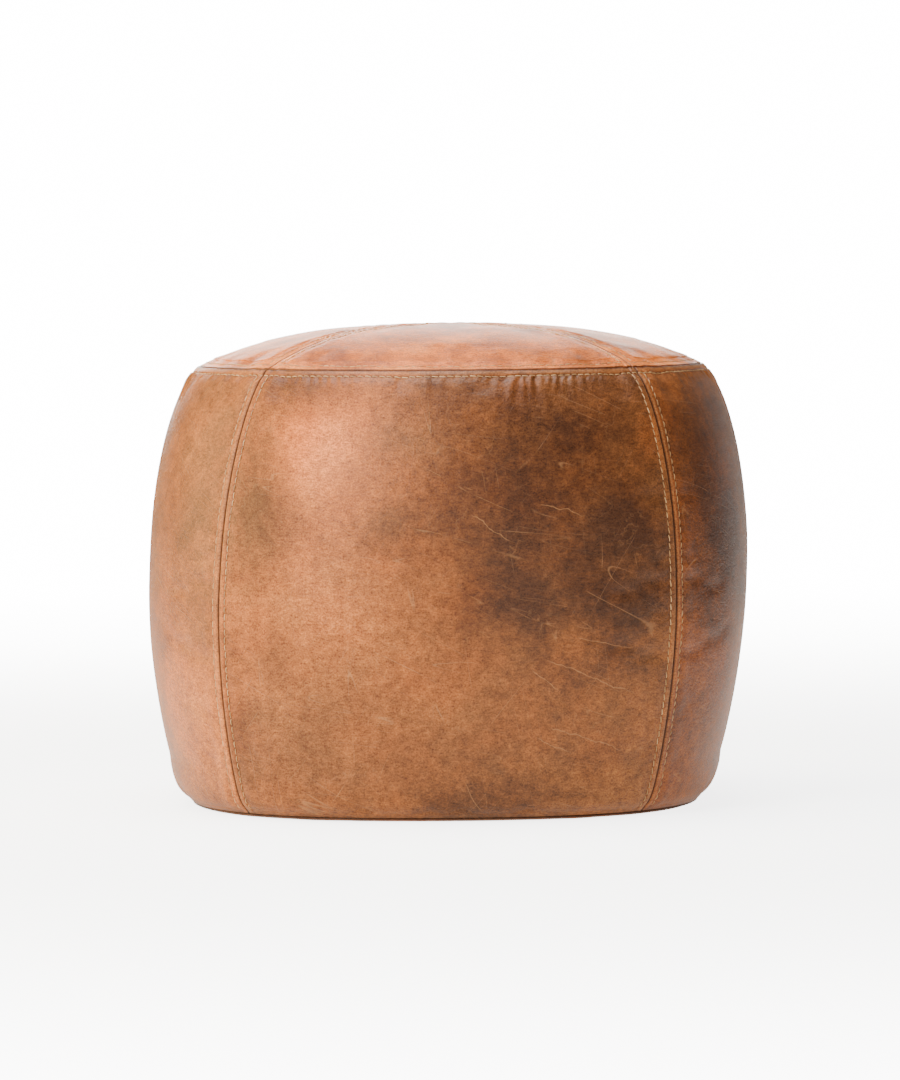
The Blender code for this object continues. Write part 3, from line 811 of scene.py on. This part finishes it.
def slot_groove(to_slot, along):
    holes = 0.75 + 0.25 * np.cos(2 * np.pi * along / SIDE_PITCH)
    return 0.0008 * holes * bell(to_slot - SLOT_ROW, 0.0010)


def rim_of_base(angle):
    """The base's outline, drawn in as far as the foot of the side panels."""
    rim = on_side(angle, FOOT_Z + 0 * angle)
    reach = np.hypot(rim[..., 0], rim[..., 1])
    return rim * ((reach - FOOT_TUCK) / reach)[..., None], reach - FOOT_TUCK


def make_base_panel(facing, center):
    """Half of the base: flat on the floor, drawn up round the zip, curled up at its rim."""
    side = math.sin(center)
    angles = center - math.pi / 2 + math.pi * np.linspace(0.0, 1.0, BASE_COLUMNS + 1)
    shares = graded_lines(RING_R, 0.0006, 0.0020, 0.012) / RING_R
    rim = rim_of_base(angles)[0]
    x = np.broadcast_to(rim[:, 0], (len(shares), len(angles)))
    inner_y = slot_edge(x)
    outer_y = np.maximum(np.abs(rim[:, 1]), inner_y + 0.0004)
    y = inner_y + (outer_y - inner_y) * shares[:, None]
    to_slot = y - inner_y
    to_rim = np.clip(rim_of_base(np.arctan2(side * y, x))[1] - np.hypot(x, y), 0.0, None)
    turned = np.clip(1 - to_slot / 0.0016, 0.0, 1.0)
    lift = 0.0010 * (1 - np.sqrt(1 - turned**2)) + slot_groove(to_slot, x)
    lift = lift + 0.0017 * bell(to_rim, 0.0035)
    uneven = 1 + layered_noise(x, y, 0.030, 900, 4)
    lift = lift + 0.00025 * uneven * smoothstep(to_slot, 0.008, 0.03)
    z = channel_height(x, y) + lift
    outer = settle(np.stack([x, side * y, z], -1))
    inner = settle(np.stack([x, side * y, z + LEATHER], -1))
    obj, picks = closed_sheet(f"leather_base_{facing}", outer, inner)
    near = np.minimum(to_slot, to_rim)
    seed = 40 + side
    wear = wear_of(x, y, 95)
    shade = hide_tone_and_painted_highlight("", x, side * y, 680) - 0.25
    leather_attributes(obj, picks, near, x, side * y, wear, shade, 0 * x, seed)
    return obj


def slot_row(side):
    def place(along, shift):
        y = slot_edge(along) + SLOT_ROW + shift
        z = channel_height(along, y) + slot_groove(SLOT_ROW + shift, along)
        points = np.stack([along, side * y, z], -1)
        return points, np.broadcast_to((0.0, 0.0, -1.0), points.shape)

    return place


def make_zip_tape(facing, side):
    """Woven tape, and the nylon coil sewn along its inner edge."""
    x = np.linspace(-ZIP_HALF, ZIP_HALF, 245)
    low, high = ZIP_TAPE_EDGES
    y = side * np.linspace(low, high, 19)
    if side < 0:
        x, y = np.meshgrid(x, y)
    else:
        x, y = np.meshgrid(x[::-1], y)
    ripple = 0.00005 * lattice_noise(x, y, 0.012, 0.008, 920)
    outer = settle(np.stack([x, y, ZIP_TAPE_Z + ripple], -1))
    inner = settle(np.stack([x, y, ZIP_TAPE_Z + ZIP_TAPE_THICK + 0 * x], -1))
    tape = closed_sheet(f"zip_weave_{facing}", outer, inner)[0]

    turns = int(2 * ZIP_HALF / COIL_PITCH)
    phase = np.linspace(0.0, turns * 2 * np.pi, turns * COIL_TURN_STEPS + 1)
    along = -ZIP_HALF + COIL_PITCH * (phase / (2 * np.pi) + (0.5 if side > 0 else 0.0) - 0.5)
    across = COIL_CENTER[0] + COIL_LOOP[0] * np.cos(phase)
    up = COIL_CENTER[1] + COIL_LOOP[1] * np.sin(phase)
    path = np.stack([np.clip(along, -ZIP_HALF, ZIP_HALF), side * across, up], -1)[None]
    normal = np.stack([0 * phase, side * np.cos(phase), np.sin(phase)], -1)[None]
    wire = np.full(len(phase), COIL_WIRE_R)
    coil = tubes(f"zip_coil_{facing}", path, normal, wire, COIL_SIDES)
    return tape, coil


# --- materials ----------------------------------------------------------------------
class Nodes:
    """A material's node tree, built by short calls."""

    def __init__(self, name):
        self.material = bpy.data.materials.new(name)
        self.material.use_nodes = True
        self.tree = self.material.node_tree
        self.shader = self.tree.nodes["Principled BSDF"]

    def node(self, kind, inputs=None, **settings):
        made = self.tree.nodes.new(kind)
        for key, value in settings.items():
            setattr(made, key, value)
        for key, value in (inputs or {}).items():
            self.put(made.inputs[key], value)
        return made

    def put(self, socket, value):
        if isinstance(value, bpy.types.NodeSocket):
            self.tree.links.new(value, socket)
        else:
            socket.default_value = value

    def math(self, operation, *values, clamp=False):
        made = self.node("ShaderNodeMath", operation=operation, use_clamp=clamp)
        for socket, value in zip(made.inputs, values):
            self.put(socket, value)
        return made.outputs[0]

    def times(self, a, b):
        return self.math("MULTIPLY", a, b)

    def swing(self, value, reach):
        """How far a value is above or below its middle, 0.5, times a reach."""
        return self.times(self.math("SUBTRACT", value, 0.5), reach)

    def from_middle(self, value):
        return self.math("ABSOLUTE", self.math("SUBTRACT", value, 0.5))

    def place(self):
        return self.node("ShaderNodeTexCoord").outputs["Object"]

    def surface(self, **values):
        """Set the shader's sockets, named with _ for each space."""
        for key, value in values.items():
            self.put(self.shader.inputs[key.replace("_", " ")], value)

    def bump(self, height, strength, distance):
        inputs = {"Height": height, "Strength": strength, "Distance": distance}
        self.surface(Normal=self.node("ShaderNodeBump", inputs).outputs["Normal"])

    def attribute(self, name, output="Fac"):
        return self.node("ShaderNodeAttribute", attribute_name=name).outputs[output]

    def noise(self, vector, scale, detail=4.0, roughness=0.55, distortion=0.0):
        inputs = {"Vector": vector, "Scale": scale, "Detail": detail,
                  "Roughness": roughness, "Distortion": distortion}
        return self.node("ShaderNodeTexNoise", inputs).outputs["Fac"]

    def ramp(self, value, low, high, out_low=0.0, out_high=1.0):
        inputs = {"Value": value, "From Min": low, "From Max": high,
                  "To Min": out_low, "To Max": out_high}
        return self.node("ShaderNodeMapRange", inputs, interpolation_type="SMOOTHSTEP").outputs["Result"]

    def mapped(self, vector, scale=(1, 1, 1), rotation=(0, 0, 0), location=(0, 0, 0)):
        inputs = {"Vector": vector, "Scale": scale, "Rotation": rotation, "Location": location}
        return self.node("ShaderNodeMapping", inputs).outputs["Vector"]

    def mix(self, factor, a, b, blend="MIX"):
        made = self.node("ShaderNodeMix", data_type="RGBA", blend_type=blend)
        self.put(made.inputs["Factor"], factor)
        self.put(made.inputs[6], a)
        self.put(made.inputs[7], b)
        return made.outputs[2]

    def contrast(self, detail, slopes):
        """A colour that is 1 where detail is 0, and brighter above it, darker below."""
        made = self.node("ShaderNodeCombineColor")
        for socket, slope in zip(made.inputs, slopes):
            brightness = self.math("ADD", 1.0, self.times(detail, slope))
            self.put(socket, self.math("MAXIMUM", brightness, 0.25))
        return made.outputs["Color"]

    def colors(self, value, stops):
        made = self.node("ShaderNodeValToRGB", {"Fac": value})
        elements = made.color_ramp.elements
        while len(elements) < len(stops):
            elements.new(0.5)
        for element, (place, color) in zip(elements, stops):
            element.position = place
            element.color = (*color, 1.0)
        return made.outputs["Color"]


def scratch_mask(n, flat, angle, spacing, width, cover, seed):
    """Long thin light scratches in one direction, broken up into strokes."""
    turned = n.mapped(flat, rotation=(0, 0, angle), location=(seed, seed * 0.7, seed))
    bent = n.mapped(turned, scale=(0.07 / spacing, 1 / spacing, 1))
    lines = n.noise(bent, 1.0, 1.0, 0.30, 0.15)
    thin = n.ramp(n.from_middle(lines), width, 0.0)
    return n.times(thin, n.ramp(n.noise(turned, 19.0, 2.0), cover, cover + 0.08))


# hairline scratches: direction in degrees, spacing, width, cover and seed
HAIRLINES = (
    (24, 0.020, 0.007, 0.50, 1.7),
    (9, 0.016, 0.006, 0.53, 5.3),
    (-58, 0.022, 0.005, 0.54, 9.1),
    (80, 0.026, 0.005, 0.55, 17.2),
)
RED_TINT = (1.05, 0.76, 0.58, 1.0)
GOLD_TINT = (0.97, 1.22, 1.80, 1.0)
RUBBED_TAN = (0.46, 0.23, 0.100, 1.0)
EDGE_TAN = (0.46, 0.22, 0.090, 1.0)
# colour of the painted shade in the seam valleys and of the grime along the stitch rows
GRIME_AND_VALLEY_SHADE = (0.050, 0.018, 0.007, 1.0)
# single scratches on the front: from and to, as distances across it and up it
FRONT_SCRATCHES = (
    ((0.091, 0.152), (0.189, 0.114)),
    ((0.082, 0.081), (0.119, 0.063)),
    ((0.095, 0.090), (0.175, 0.063)),
    ((0.082, 0.292), (0.131, 0.280)),
    ((0.020, 0.284), (0.062, 0.255)),
    ((0.077, 0.144), (0.106, 0.121)),
    ((0.118, 0.172), (0.182, 0.158)),
)


def stroke_mask(n, flat, waver, start, end, width=0.0007):
    """One slightly wavering scratch between two places on the front panel."""
    span = Vector((end[0] - start[0], end[1] - start[1], 0.0))
    length = span.length
    angle = -math.atan2(span.y, span.x)
    moved = n.mapped(flat, location=(-start[0], -start[1], 0.0))
    turned = n.mapped(moved, rotation=(0, 0, angle))
    place = n.node("ShaderNodeSeparateXYZ", {"Vector": turned}).outputs
    off = n.math("ABSOLUTE", n.math("ADD", place["Y"], waver))
    line = n.ramp(off, width, 0.0)
    start_end = n.ramp(place["X"], 0.0, 0.006), n.ramp(place["X"], length, length * 0.7)
    ends = n.times(*start_end)
    front = n.ramp(n.math("ABSOLUTE", place["Z"]), 1.0, 0.5)
    return n.times(front, n.times(line, ends))


def leather_material(name, stops, hue_spread, specular):
    """Pull-up leather: stops are its colours from dark to light, and near is in mm."""
    n = Nodes(name)
    flat = n.attribute("flat", "Vector")
    shade, wear, near = n.attribute("shade"), n.attribute("wear"), n.attribute("near")

    clouds = n.noise(flat, 13.0, 7.0, 0.60, 0.5)
    mottle = n.noise(flat, 95.0, 6.0, 0.70, 0.25)
    speck = n.noise(flat, 620.0, 3.0, 0.65)
    grain = n.noise(n.mapped(flat, scale=(1.0, 1.9, 1.0)), 210.0, 5.0, 0.78)
    # shade is the hide's tone, and on the front panel it also holds the painted highlight
    tone = n.math("ADD", 0.50, n.times(shade, 0.50))
    tone = n.math("ADD", tone, n.swing(clouds, 0.48))
    tone = n.math("ADD", tone, n.swing(mottle, 0.40))
    band = n.times(n.ramp(near, 1.0, 2.4), n.ramp(near, 8.5, 5.0))
    tone = n.math("ADD", tone, n.times(band, 0.10), clamp=True)
    color = n.colors(tone, stops)
    detail = 0.0
    for layer, strength in ((mottle, 0.50), (grain, 1.05), (speck, 1.10)):
        detail = n.math("ADD", detail, n.swing(layer, strength))
    color = n.mix(1.0, color, n.contrast(detail, (2.1, 2.4, 2.8)), "MULTIPLY")

    patchy = n.math("SUBTRACT", n.noise(n.mapped(flat, location=(3.1, 7.7, 1.3)), 21.0, 5.0, 0.6), 0.5)
    golden = n.math("ADD", n.attribute("hue"), n.times(patchy, hue_spread))
    reddish = n.mix(1.0, color, RED_TINT, "MULTIPLY")
    yellowed = n.mix(1.0, color, GOLD_TINT, "MULTIPLY")
    color = n.mix(n.ramp(golden, -0.5, 0.5), reddish, yellowed)

    scratches = 0.0
    for angle, *numbers in HAIRLINES:
        lines = scratch_mask(n, flat, math.radians(angle), *numbers)
        scratches = n.math("MAXIMUM", scratches, lines)
    waver = n.swing(n.noise(flat, 60.0, 2.0), 0.010)
    veins = n.noise(n.mapped(flat, location=(8.3, 2.9, 4.1)), 42.0, 3.0, 0.50, 0.2)
    veins = n.ramp(n.from_middle(veins), 0.013, 0.0)
    veins = n.times(veins, n.ramp(n.noise(flat, 17.0, 3.0), 0.46, 0.60))
    scratches = n.math("MAXIMUM", scratches, n.times(veins, 0.5))
    rubbed = n.times(scratches, n.ramp(wear, 0.30, 0.65, 0.10, 0.30))
    for start, end in FRONT_SCRATCHES:
        stroke = n.times(stroke_mask(n, flat, waver, start, end), 0.40)
        rubbed = n.math("MAXIMUM", rubbed, stroke)
    color = n.mix(rubbed, color, RUBBED_TAN)
    beside_seam = n.times(n.ramp(near, 0.9, 1.9), n.ramp(near, 4.2, 2.0))
    fold_edge = n.times(beside_seam, n.ramp(speck, 0.35, 0.65, 0.06, 0.34))
    color = n.mix(fold_edge, color, EDGE_TAN)
    along_row = n.times(n.ramp(near, 5.9, 7.2), n.ramp(near, 9.0, 7.7))
    # darker right in each seam's valley, a painted shade standing in for the valley's shadow, and a little
    # darker along each stitch row with grime in its groove
    grime = n.math("MAXIMUM", n.ramp(near, 1.3, 0.2), n.times(0.45, along_row))
    color = n.mix(n.times(grime, 0.82), color, GRIME_AND_VALLEY_SHADE)
    n.surface(Base_Color=color)

    rough = n.math("ADD", 0.42, n.swing(mottle, 0.20))
    rough = n.math("ADD", rough, n.times(rubbed, 0.20))
    rough = n.math("ADD", rough, n.swing(speck, 0.25), clamp=True)
    n.surface(Roughness=rough)

    cells = n.node("ShaderNodeTexVoronoi", {"Vector": flat, "Scale": 620.0, "Randomness": 1.0},
                   feature="SMOOTH_F1").outputs["Distance"]
    pores = n.noise(flat, 1900.0, 2.0, 0.6)
    creases = n.noise(n.mapped(flat, scale=(1.0, 2.4, 1.0)), 120.0, 4.0, 0.62, 0.8)
    height = n.math("ADD", n.times(cells, 0.55), n.times(pores, 0.30))
    height = n.math("ADD", height, n.times(creases, 0.85))
    height = n.math("SUBTRACT", height, n.times(scratches, 0.35))
    n.bump(height, 0.60, 0.0008)
    n.surface(Specular_IOR_Level=specular)
    return n.material


THREAD_TONES = ((0.15, (0.27, 0.140, 0.055)), (0.60, (0.48, 0.27, 0.115)), (1.0, (0.66, 0.43, 0.22)))


def thread_material():
    n = Nodes("waxed_thread")
    place = n.place()
    strands = n.noise(place, 2600.0, 2.0)
    tone = n.math("ADD", n.times(n.attribute("tone"), 0.55), n.times(strands, 0.5))
    n.surface(Base_Color=n.colors(tone, THREAD_TONES), Roughness=0.55)
    n.bump(strands, 0.5, 0.0002)
    return n.material


def cloth_material(name, dark, light, threads_per_metre):
    n = Nodes(name)
    place = n.place()
    threads = []
    for direction, count in (("DIAGONAL", threads_per_metre), ("Z", threads_per_metre * 1.1)):
        inputs = {"Vector": place, "Scale": count, "Distortion": 0.4}
        wave = n.node("ShaderNodeTexWave", inputs, bands_direction=direction)
        threads.append(wave.outputs["Fac"])
    weave = n.times(*threads)
    grime = n.noise(place, 30.0, 4.0)
    tone = n.math("ADD", n.times(weave, 0.5), n.times(grime, 0.6))
    n.surface(Base_Color=n.colors(tone, [(0.2, dark), (0.8, light)]), Roughness=0.9)
    n.bump(weave, 0.4, 0.0003)
    return n.material


def cotton_material():
    n = Nodes("cotton_stuffing")
    place = n.place()
    tufts = n.noise(place, 55.0, 8.0, 0.72, 0.6)
    color = n.colors(tufts, [(0.3, (0.58, 0.54, 0.46)), (0.7, (0.82, 0.79, 0.72))])
    n.surface(Base_Color=color, Roughness=1.0)
    n.bump(tufts, 0.8, 0.004)
    return n.material


def nylon_material():
    n = Nodes("nylon_coil")
    place = n.place()
    dust = n.noise(place, 90.0, 4.0)
    color = n.colors(dust, [(0.35, (0.018, 0.010, 0.006)), (0.7, (0.07, 0.042, 0.025))])
    n.surface(Base_Color=color, Roughness=n.ramp(dust, 0.3, 0.7, 0.32, 0.50))
    return n.material


def brass_material():
    n = Nodes("aged_brass")
    place = n.place()
    patina = n.noise(place, 320.0, 5.0, 0.6)
    color = n.colors(patina, [(0.35, (0.16, 0.10, 0.045)), (0.62, (0.52, 0.36, 0.15))])
    n.surface(Base_Color=color, Roughness=n.ramp(patina, 0.3, 0.7, 0.55, 0.28), Metallic=1.0)
    return n.material


# --- pieces on the pouf -------------------------------------------------------------
def dress(obj, material):
    obj.data.materials.clear()
    obj.data.materials.append(material)


def show(piece, material, slot, stands_for=None):
    """Dress a piece, hide the node it stands for, and fix it to the pouf; its slot is not used."""
    dress(piece, material)
    if stands_for:
        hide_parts(stands_for)
    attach(piece, "pouf")


def settled_copy(node, name):
    """An inner piece as the stuffed body holds it, leaning with the leather."""
    mesh = node.data.copy()
    points = np.empty(len(mesh.vertices) * 3, np.float32)
    mesh.vertices.foreach_get("co", points)
    leaning = settle(points.reshape(-1, 3).astype(float))
    mesh.vertices.foreach_set("co", leaning.astype(np.float32).ravel())
    mesh.update()
    piece = bpy.data.objects.new(f"inside_{name}", mesh)
    bpy.context.scene.collection.objects.link(piece)
    piece.matrix_world = node.matrix_world
    return piece


# --- stage --------------------------------------------------------------------------
STAGE_WHITE = 16.0      # how bright the far studio looks to the camera
NEAR_GLOW = 4.2         # the same for the floor round the pouf
GLOW_FADE = (0.6, 3.6)  # between these distances the near floor turns into the far one
STAGE_RADIUS = 30.0
STAGE_DROP = -0.0004    # just under the pouf, so that no two faces share a plane
BOUNCE_RADIUS, BOUNCE_DROP = 12.0, -0.0012
WARM_WHITE = (1.0, 0.93, 0.84)
# name, place, width and height, watts and colour of each light
LIGHTS = (
    ("key_window", (-1.47, -2.21, 1.39), (1.1, 1.3), 105, (1.0, 0.95, 0.88)),
    ("left_soft", (-2.7, 0.1, 1.0), (2.2, 2.0), 100, (1.0, 0.83, 0.39)),
    ("top_soft", (-0.3, 0.0, 2.3), (1.8, 1.8), 95, (1.0, 1.0, 1.0)),
    ("back_soft", (-0.25, 2.6, 0.95), (1.7, 1.1), 66, WARM_WHITE),
    ("right_back", (1.7, 2.8, 0.6), (0.6, 1.0), 3, (1.0, 1.0, 1.0)),
    ("front_fill", (0.9, -3.2, 0.5), (1.5, 1.0), 10, (1.0, 0.93, 0.82)),
)
LIT_POINT = (0.0, 0.0, 0.24)
CAMERA_PLACE = (0.006, -6.0, 0.55)
CAMERA_TARGET = (0.006, 0.0, 0.243)
CAMERA_ROLL = -0.4      # degrees the camera is turned about its own line of sight
LENS_MM, SENSOR_MM = 213.6, 36.0


def aim(obj, target):
    obj.rotation_euler = (Vector(target) - obj.location).to_track_quat("-Z", "Y").to_euler()


def area_light(name, place, size, power, color):
    light = bpy.data.lights.new(name, "AREA")
    light.shape = "RECTANGLE"
    light.size, light.size_y = size
    light.energy = power
    light.color = color
    obj = bpy.data.objects.new(name, light)
    obj.location = place
    bpy.context.scene.collection.objects.link(obj)
    aim(obj, LIT_POINT)
    obj.visible_camera = False


def make_floor(name, height, radius):
    bpy.ops.mesh.primitive_circle_add(
        vertices=128, radius=radius, fill_type="NGON", location=(0, 0, height))
    floor = bpy.context.object
    floor.name = name
    return floor


def make_stage():
    """A pale floor running into a white backdrop, and the bounce the pouf gets from it."""
    floor = make_floor("studio_floor", STAGE_DROP, STAGE_RADIUS)
    n = Nodes("pale_floor")
    place = n.place()
    pale = n.colors(n.noise(place, 1.3, 3.0), [(0.3, (0.87,) * 3), (0.7, (0.89,) * 3)])
    n.surface(Base_Color=pale, Roughness=0.9, Specular_IOR_Level=0.0)
    away = n.node("ShaderNodeVectorMath", {0: place}, operation="LENGTH").outputs["Value"]
    far = n.ramp(away, *GLOW_FADE)
    glow = n.node("ShaderNodeEmission", {"Strength": STAGE_WHITE})
    near_glow = n.node("ShaderNodeEmission", {"Strength": NEAR_GLOW})
    near = n.node("ShaderNodeAddShader", {0: n.shader.outputs[0], 1: near_glow.outputs[0]})
    both = n.node("ShaderNodeMixShader", {0: far, 1: near.outputs[0], 2: glow.outputs[0]})
    output = [node for node in n.tree.nodes if node.type == "OUTPUT_MATERIAL"][0]
    n.put(output.inputs["Surface"], both.outputs[0])
    dress(floor, n.material)

    bpy.ops.mesh.primitive_uv_sphere_add(segments=64, ring_count=32, radius=STAGE_RADIUS)
    backdrop = bpy.context.object
    backdrop.name = "white_backdrop"
    white = Nodes("backdrop_white")
    white.surface(Base_Color=(0.0, 0.0, 0.0, 1.0), Emission_Color=(1.0, 1.0, 1.0, 1.0),
                  Emission_Strength=STAGE_WHITE)
    dress(backdrop, white.material)
    for seen in (floor, backdrop):
        seen.visible_diffuse = False
        seen.visible_glossy = False
        seen.visible_transmission = False
        seen.visible_shadow = False

    bounce = make_floor("floor_bounce", BOUNCE_DROP, BOUNCE_RADIUS)
    bounce.visible_camera = False
    card = Nodes("bounce_card")
    card.surface(Base_Color=(0.62, 0.62, 0.62, 1.0), Roughness=0.9, Specular_IOR_Level=0.0,
                 Emission_Color=(*WARM_WHITE, 1.0), Emission_Strength=0.85)
    dress(bounce, card.material)

    world = bpy.data.worlds.new("studio")
    bpy.context.scene.world = world
    world.use_nodes = True
    background = world.node_tree.nodes["Background"]
    background.inputs["Color"].default_value = (1.0, 0.92, 0.82, 1.0)
    background.inputs["Strength"].default_value = 0.20

    for light in LIGHTS:
        area_light(*light)


def make_camera():
    data = bpy.data.cameras.new("camera")
    data.lens = LENS_MM
    data.sensor_width = SENSOR_MM
    data.clip_end = 100.0
    camera = bpy.data.objects.new("camera", data)
    bpy.context.scene.collection.objects.link(camera)
    camera.location = CAMERA_PLACE
    aim(camera, CAMERA_TARGET)
    camera.rotation_euler.rotate_axis("Z", math.radians(CAMERA_ROLL))
    bpy.context.scene.camera = camera


# --- the whole scene ----------------------------------------------------------------
SIDE_TONES = (
    (0.02, (0.055, 0.0200, 0.0065)),
    (0.26, (0.125, 0.0440, 0.0110)),
    (0.50, (0.230, 0.0760, 0.0155)),
    (0.74, (0.380, 0.1220, 0.0225)),
    (0.98, (0.560, 0.1850, 0.0400)),
)
# the crown's stops run brighter than the sides': partly painted light, the brightness the crown takes from
# the light above put into its colour
CROWN_TONES_WITH_PAINTED_LIGHT = (
    (0.02, (0.120, 0.0340, 0.0070)),
    (0.26, (0.270, 0.0700, 0.0105)),
    (0.50, (0.430, 0.1140, 0.0140)),
    (0.74, (0.590, 0.1680, 0.0220)),
    (0.98, (0.720, 0.2500, 0.0480)),
)


def build():
    make_camera()
    side_leather = leather_material("pull_up_leather", SIDE_TONES, 0.4, 0.24)
    # the crown leather's brighter stops hold painted light from above
    crown_leather = leather_material("pull_up_leather_crown_painted_light", CROWN_TONES_WITH_PAINTED_LIGHT, 0.35, 0.21)
    thread = thread_material()
    tape = cloth_material("backing_tape", (0.05, 0.03, 0.018), (0.13, 0.085, 0.05), 500)
    liner = cloth_material("liner_cotton", (0.45, 0.39, 0.30), (0.68, 0.62, 0.52), 600)
    cotton = cotton_material()
    zip_cloth = cloth_material("zip_tape", (0.02, 0.012, 0.008), (0.09, 0.05, 0.03), 900)
    nylon = nylon_material()
    brass = brass_material()

    inner = {"inner_liner": (liner, "liner_cloth"), "stuffing": (cotton, "stuffing")}
    for facing, center in FACINGS.items():
        side_panel = make_side_panel(facing, center)
        show(side_panel, side_leather, "side_leather", f"side_panel_{facing}")
        crown_panel = make_crown_panel(facing, center)
        show(crown_panel, crown_leather, "crown_leather", f"crown_panel_{facing}")
    for facing, side in (("front", -1), ("back", 1)):
        base_panel = make_base_panel(facing, FACINGS[facing])
        show(base_panel, side_leather, "base_leather", f"base_panel_{facing}")
        weave, coil = make_zip_tape(facing, side)
        show(weave, zip_cloth, "zip_tape", f"zip_tape_{facing}")
        show(coil, nylon, "zip_tape")
    for row in make_threads():
        show(row, thread, "side_leather")
    for name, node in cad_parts.items():
        if name in inner or name.endswith(tuple(CORNERS)) or name.endswith("ring_tape"):
            piece = settled_copy(node, name)
            show(piece, *inner.get(name, (tape, "seam_tape")), name)
        elif name.startswith("zip") and "tape" not in name:
            dress(node, brass)
    make_stage()


SIDE_SWELL, CROWN_SWELL = swell_of_casing()
build()
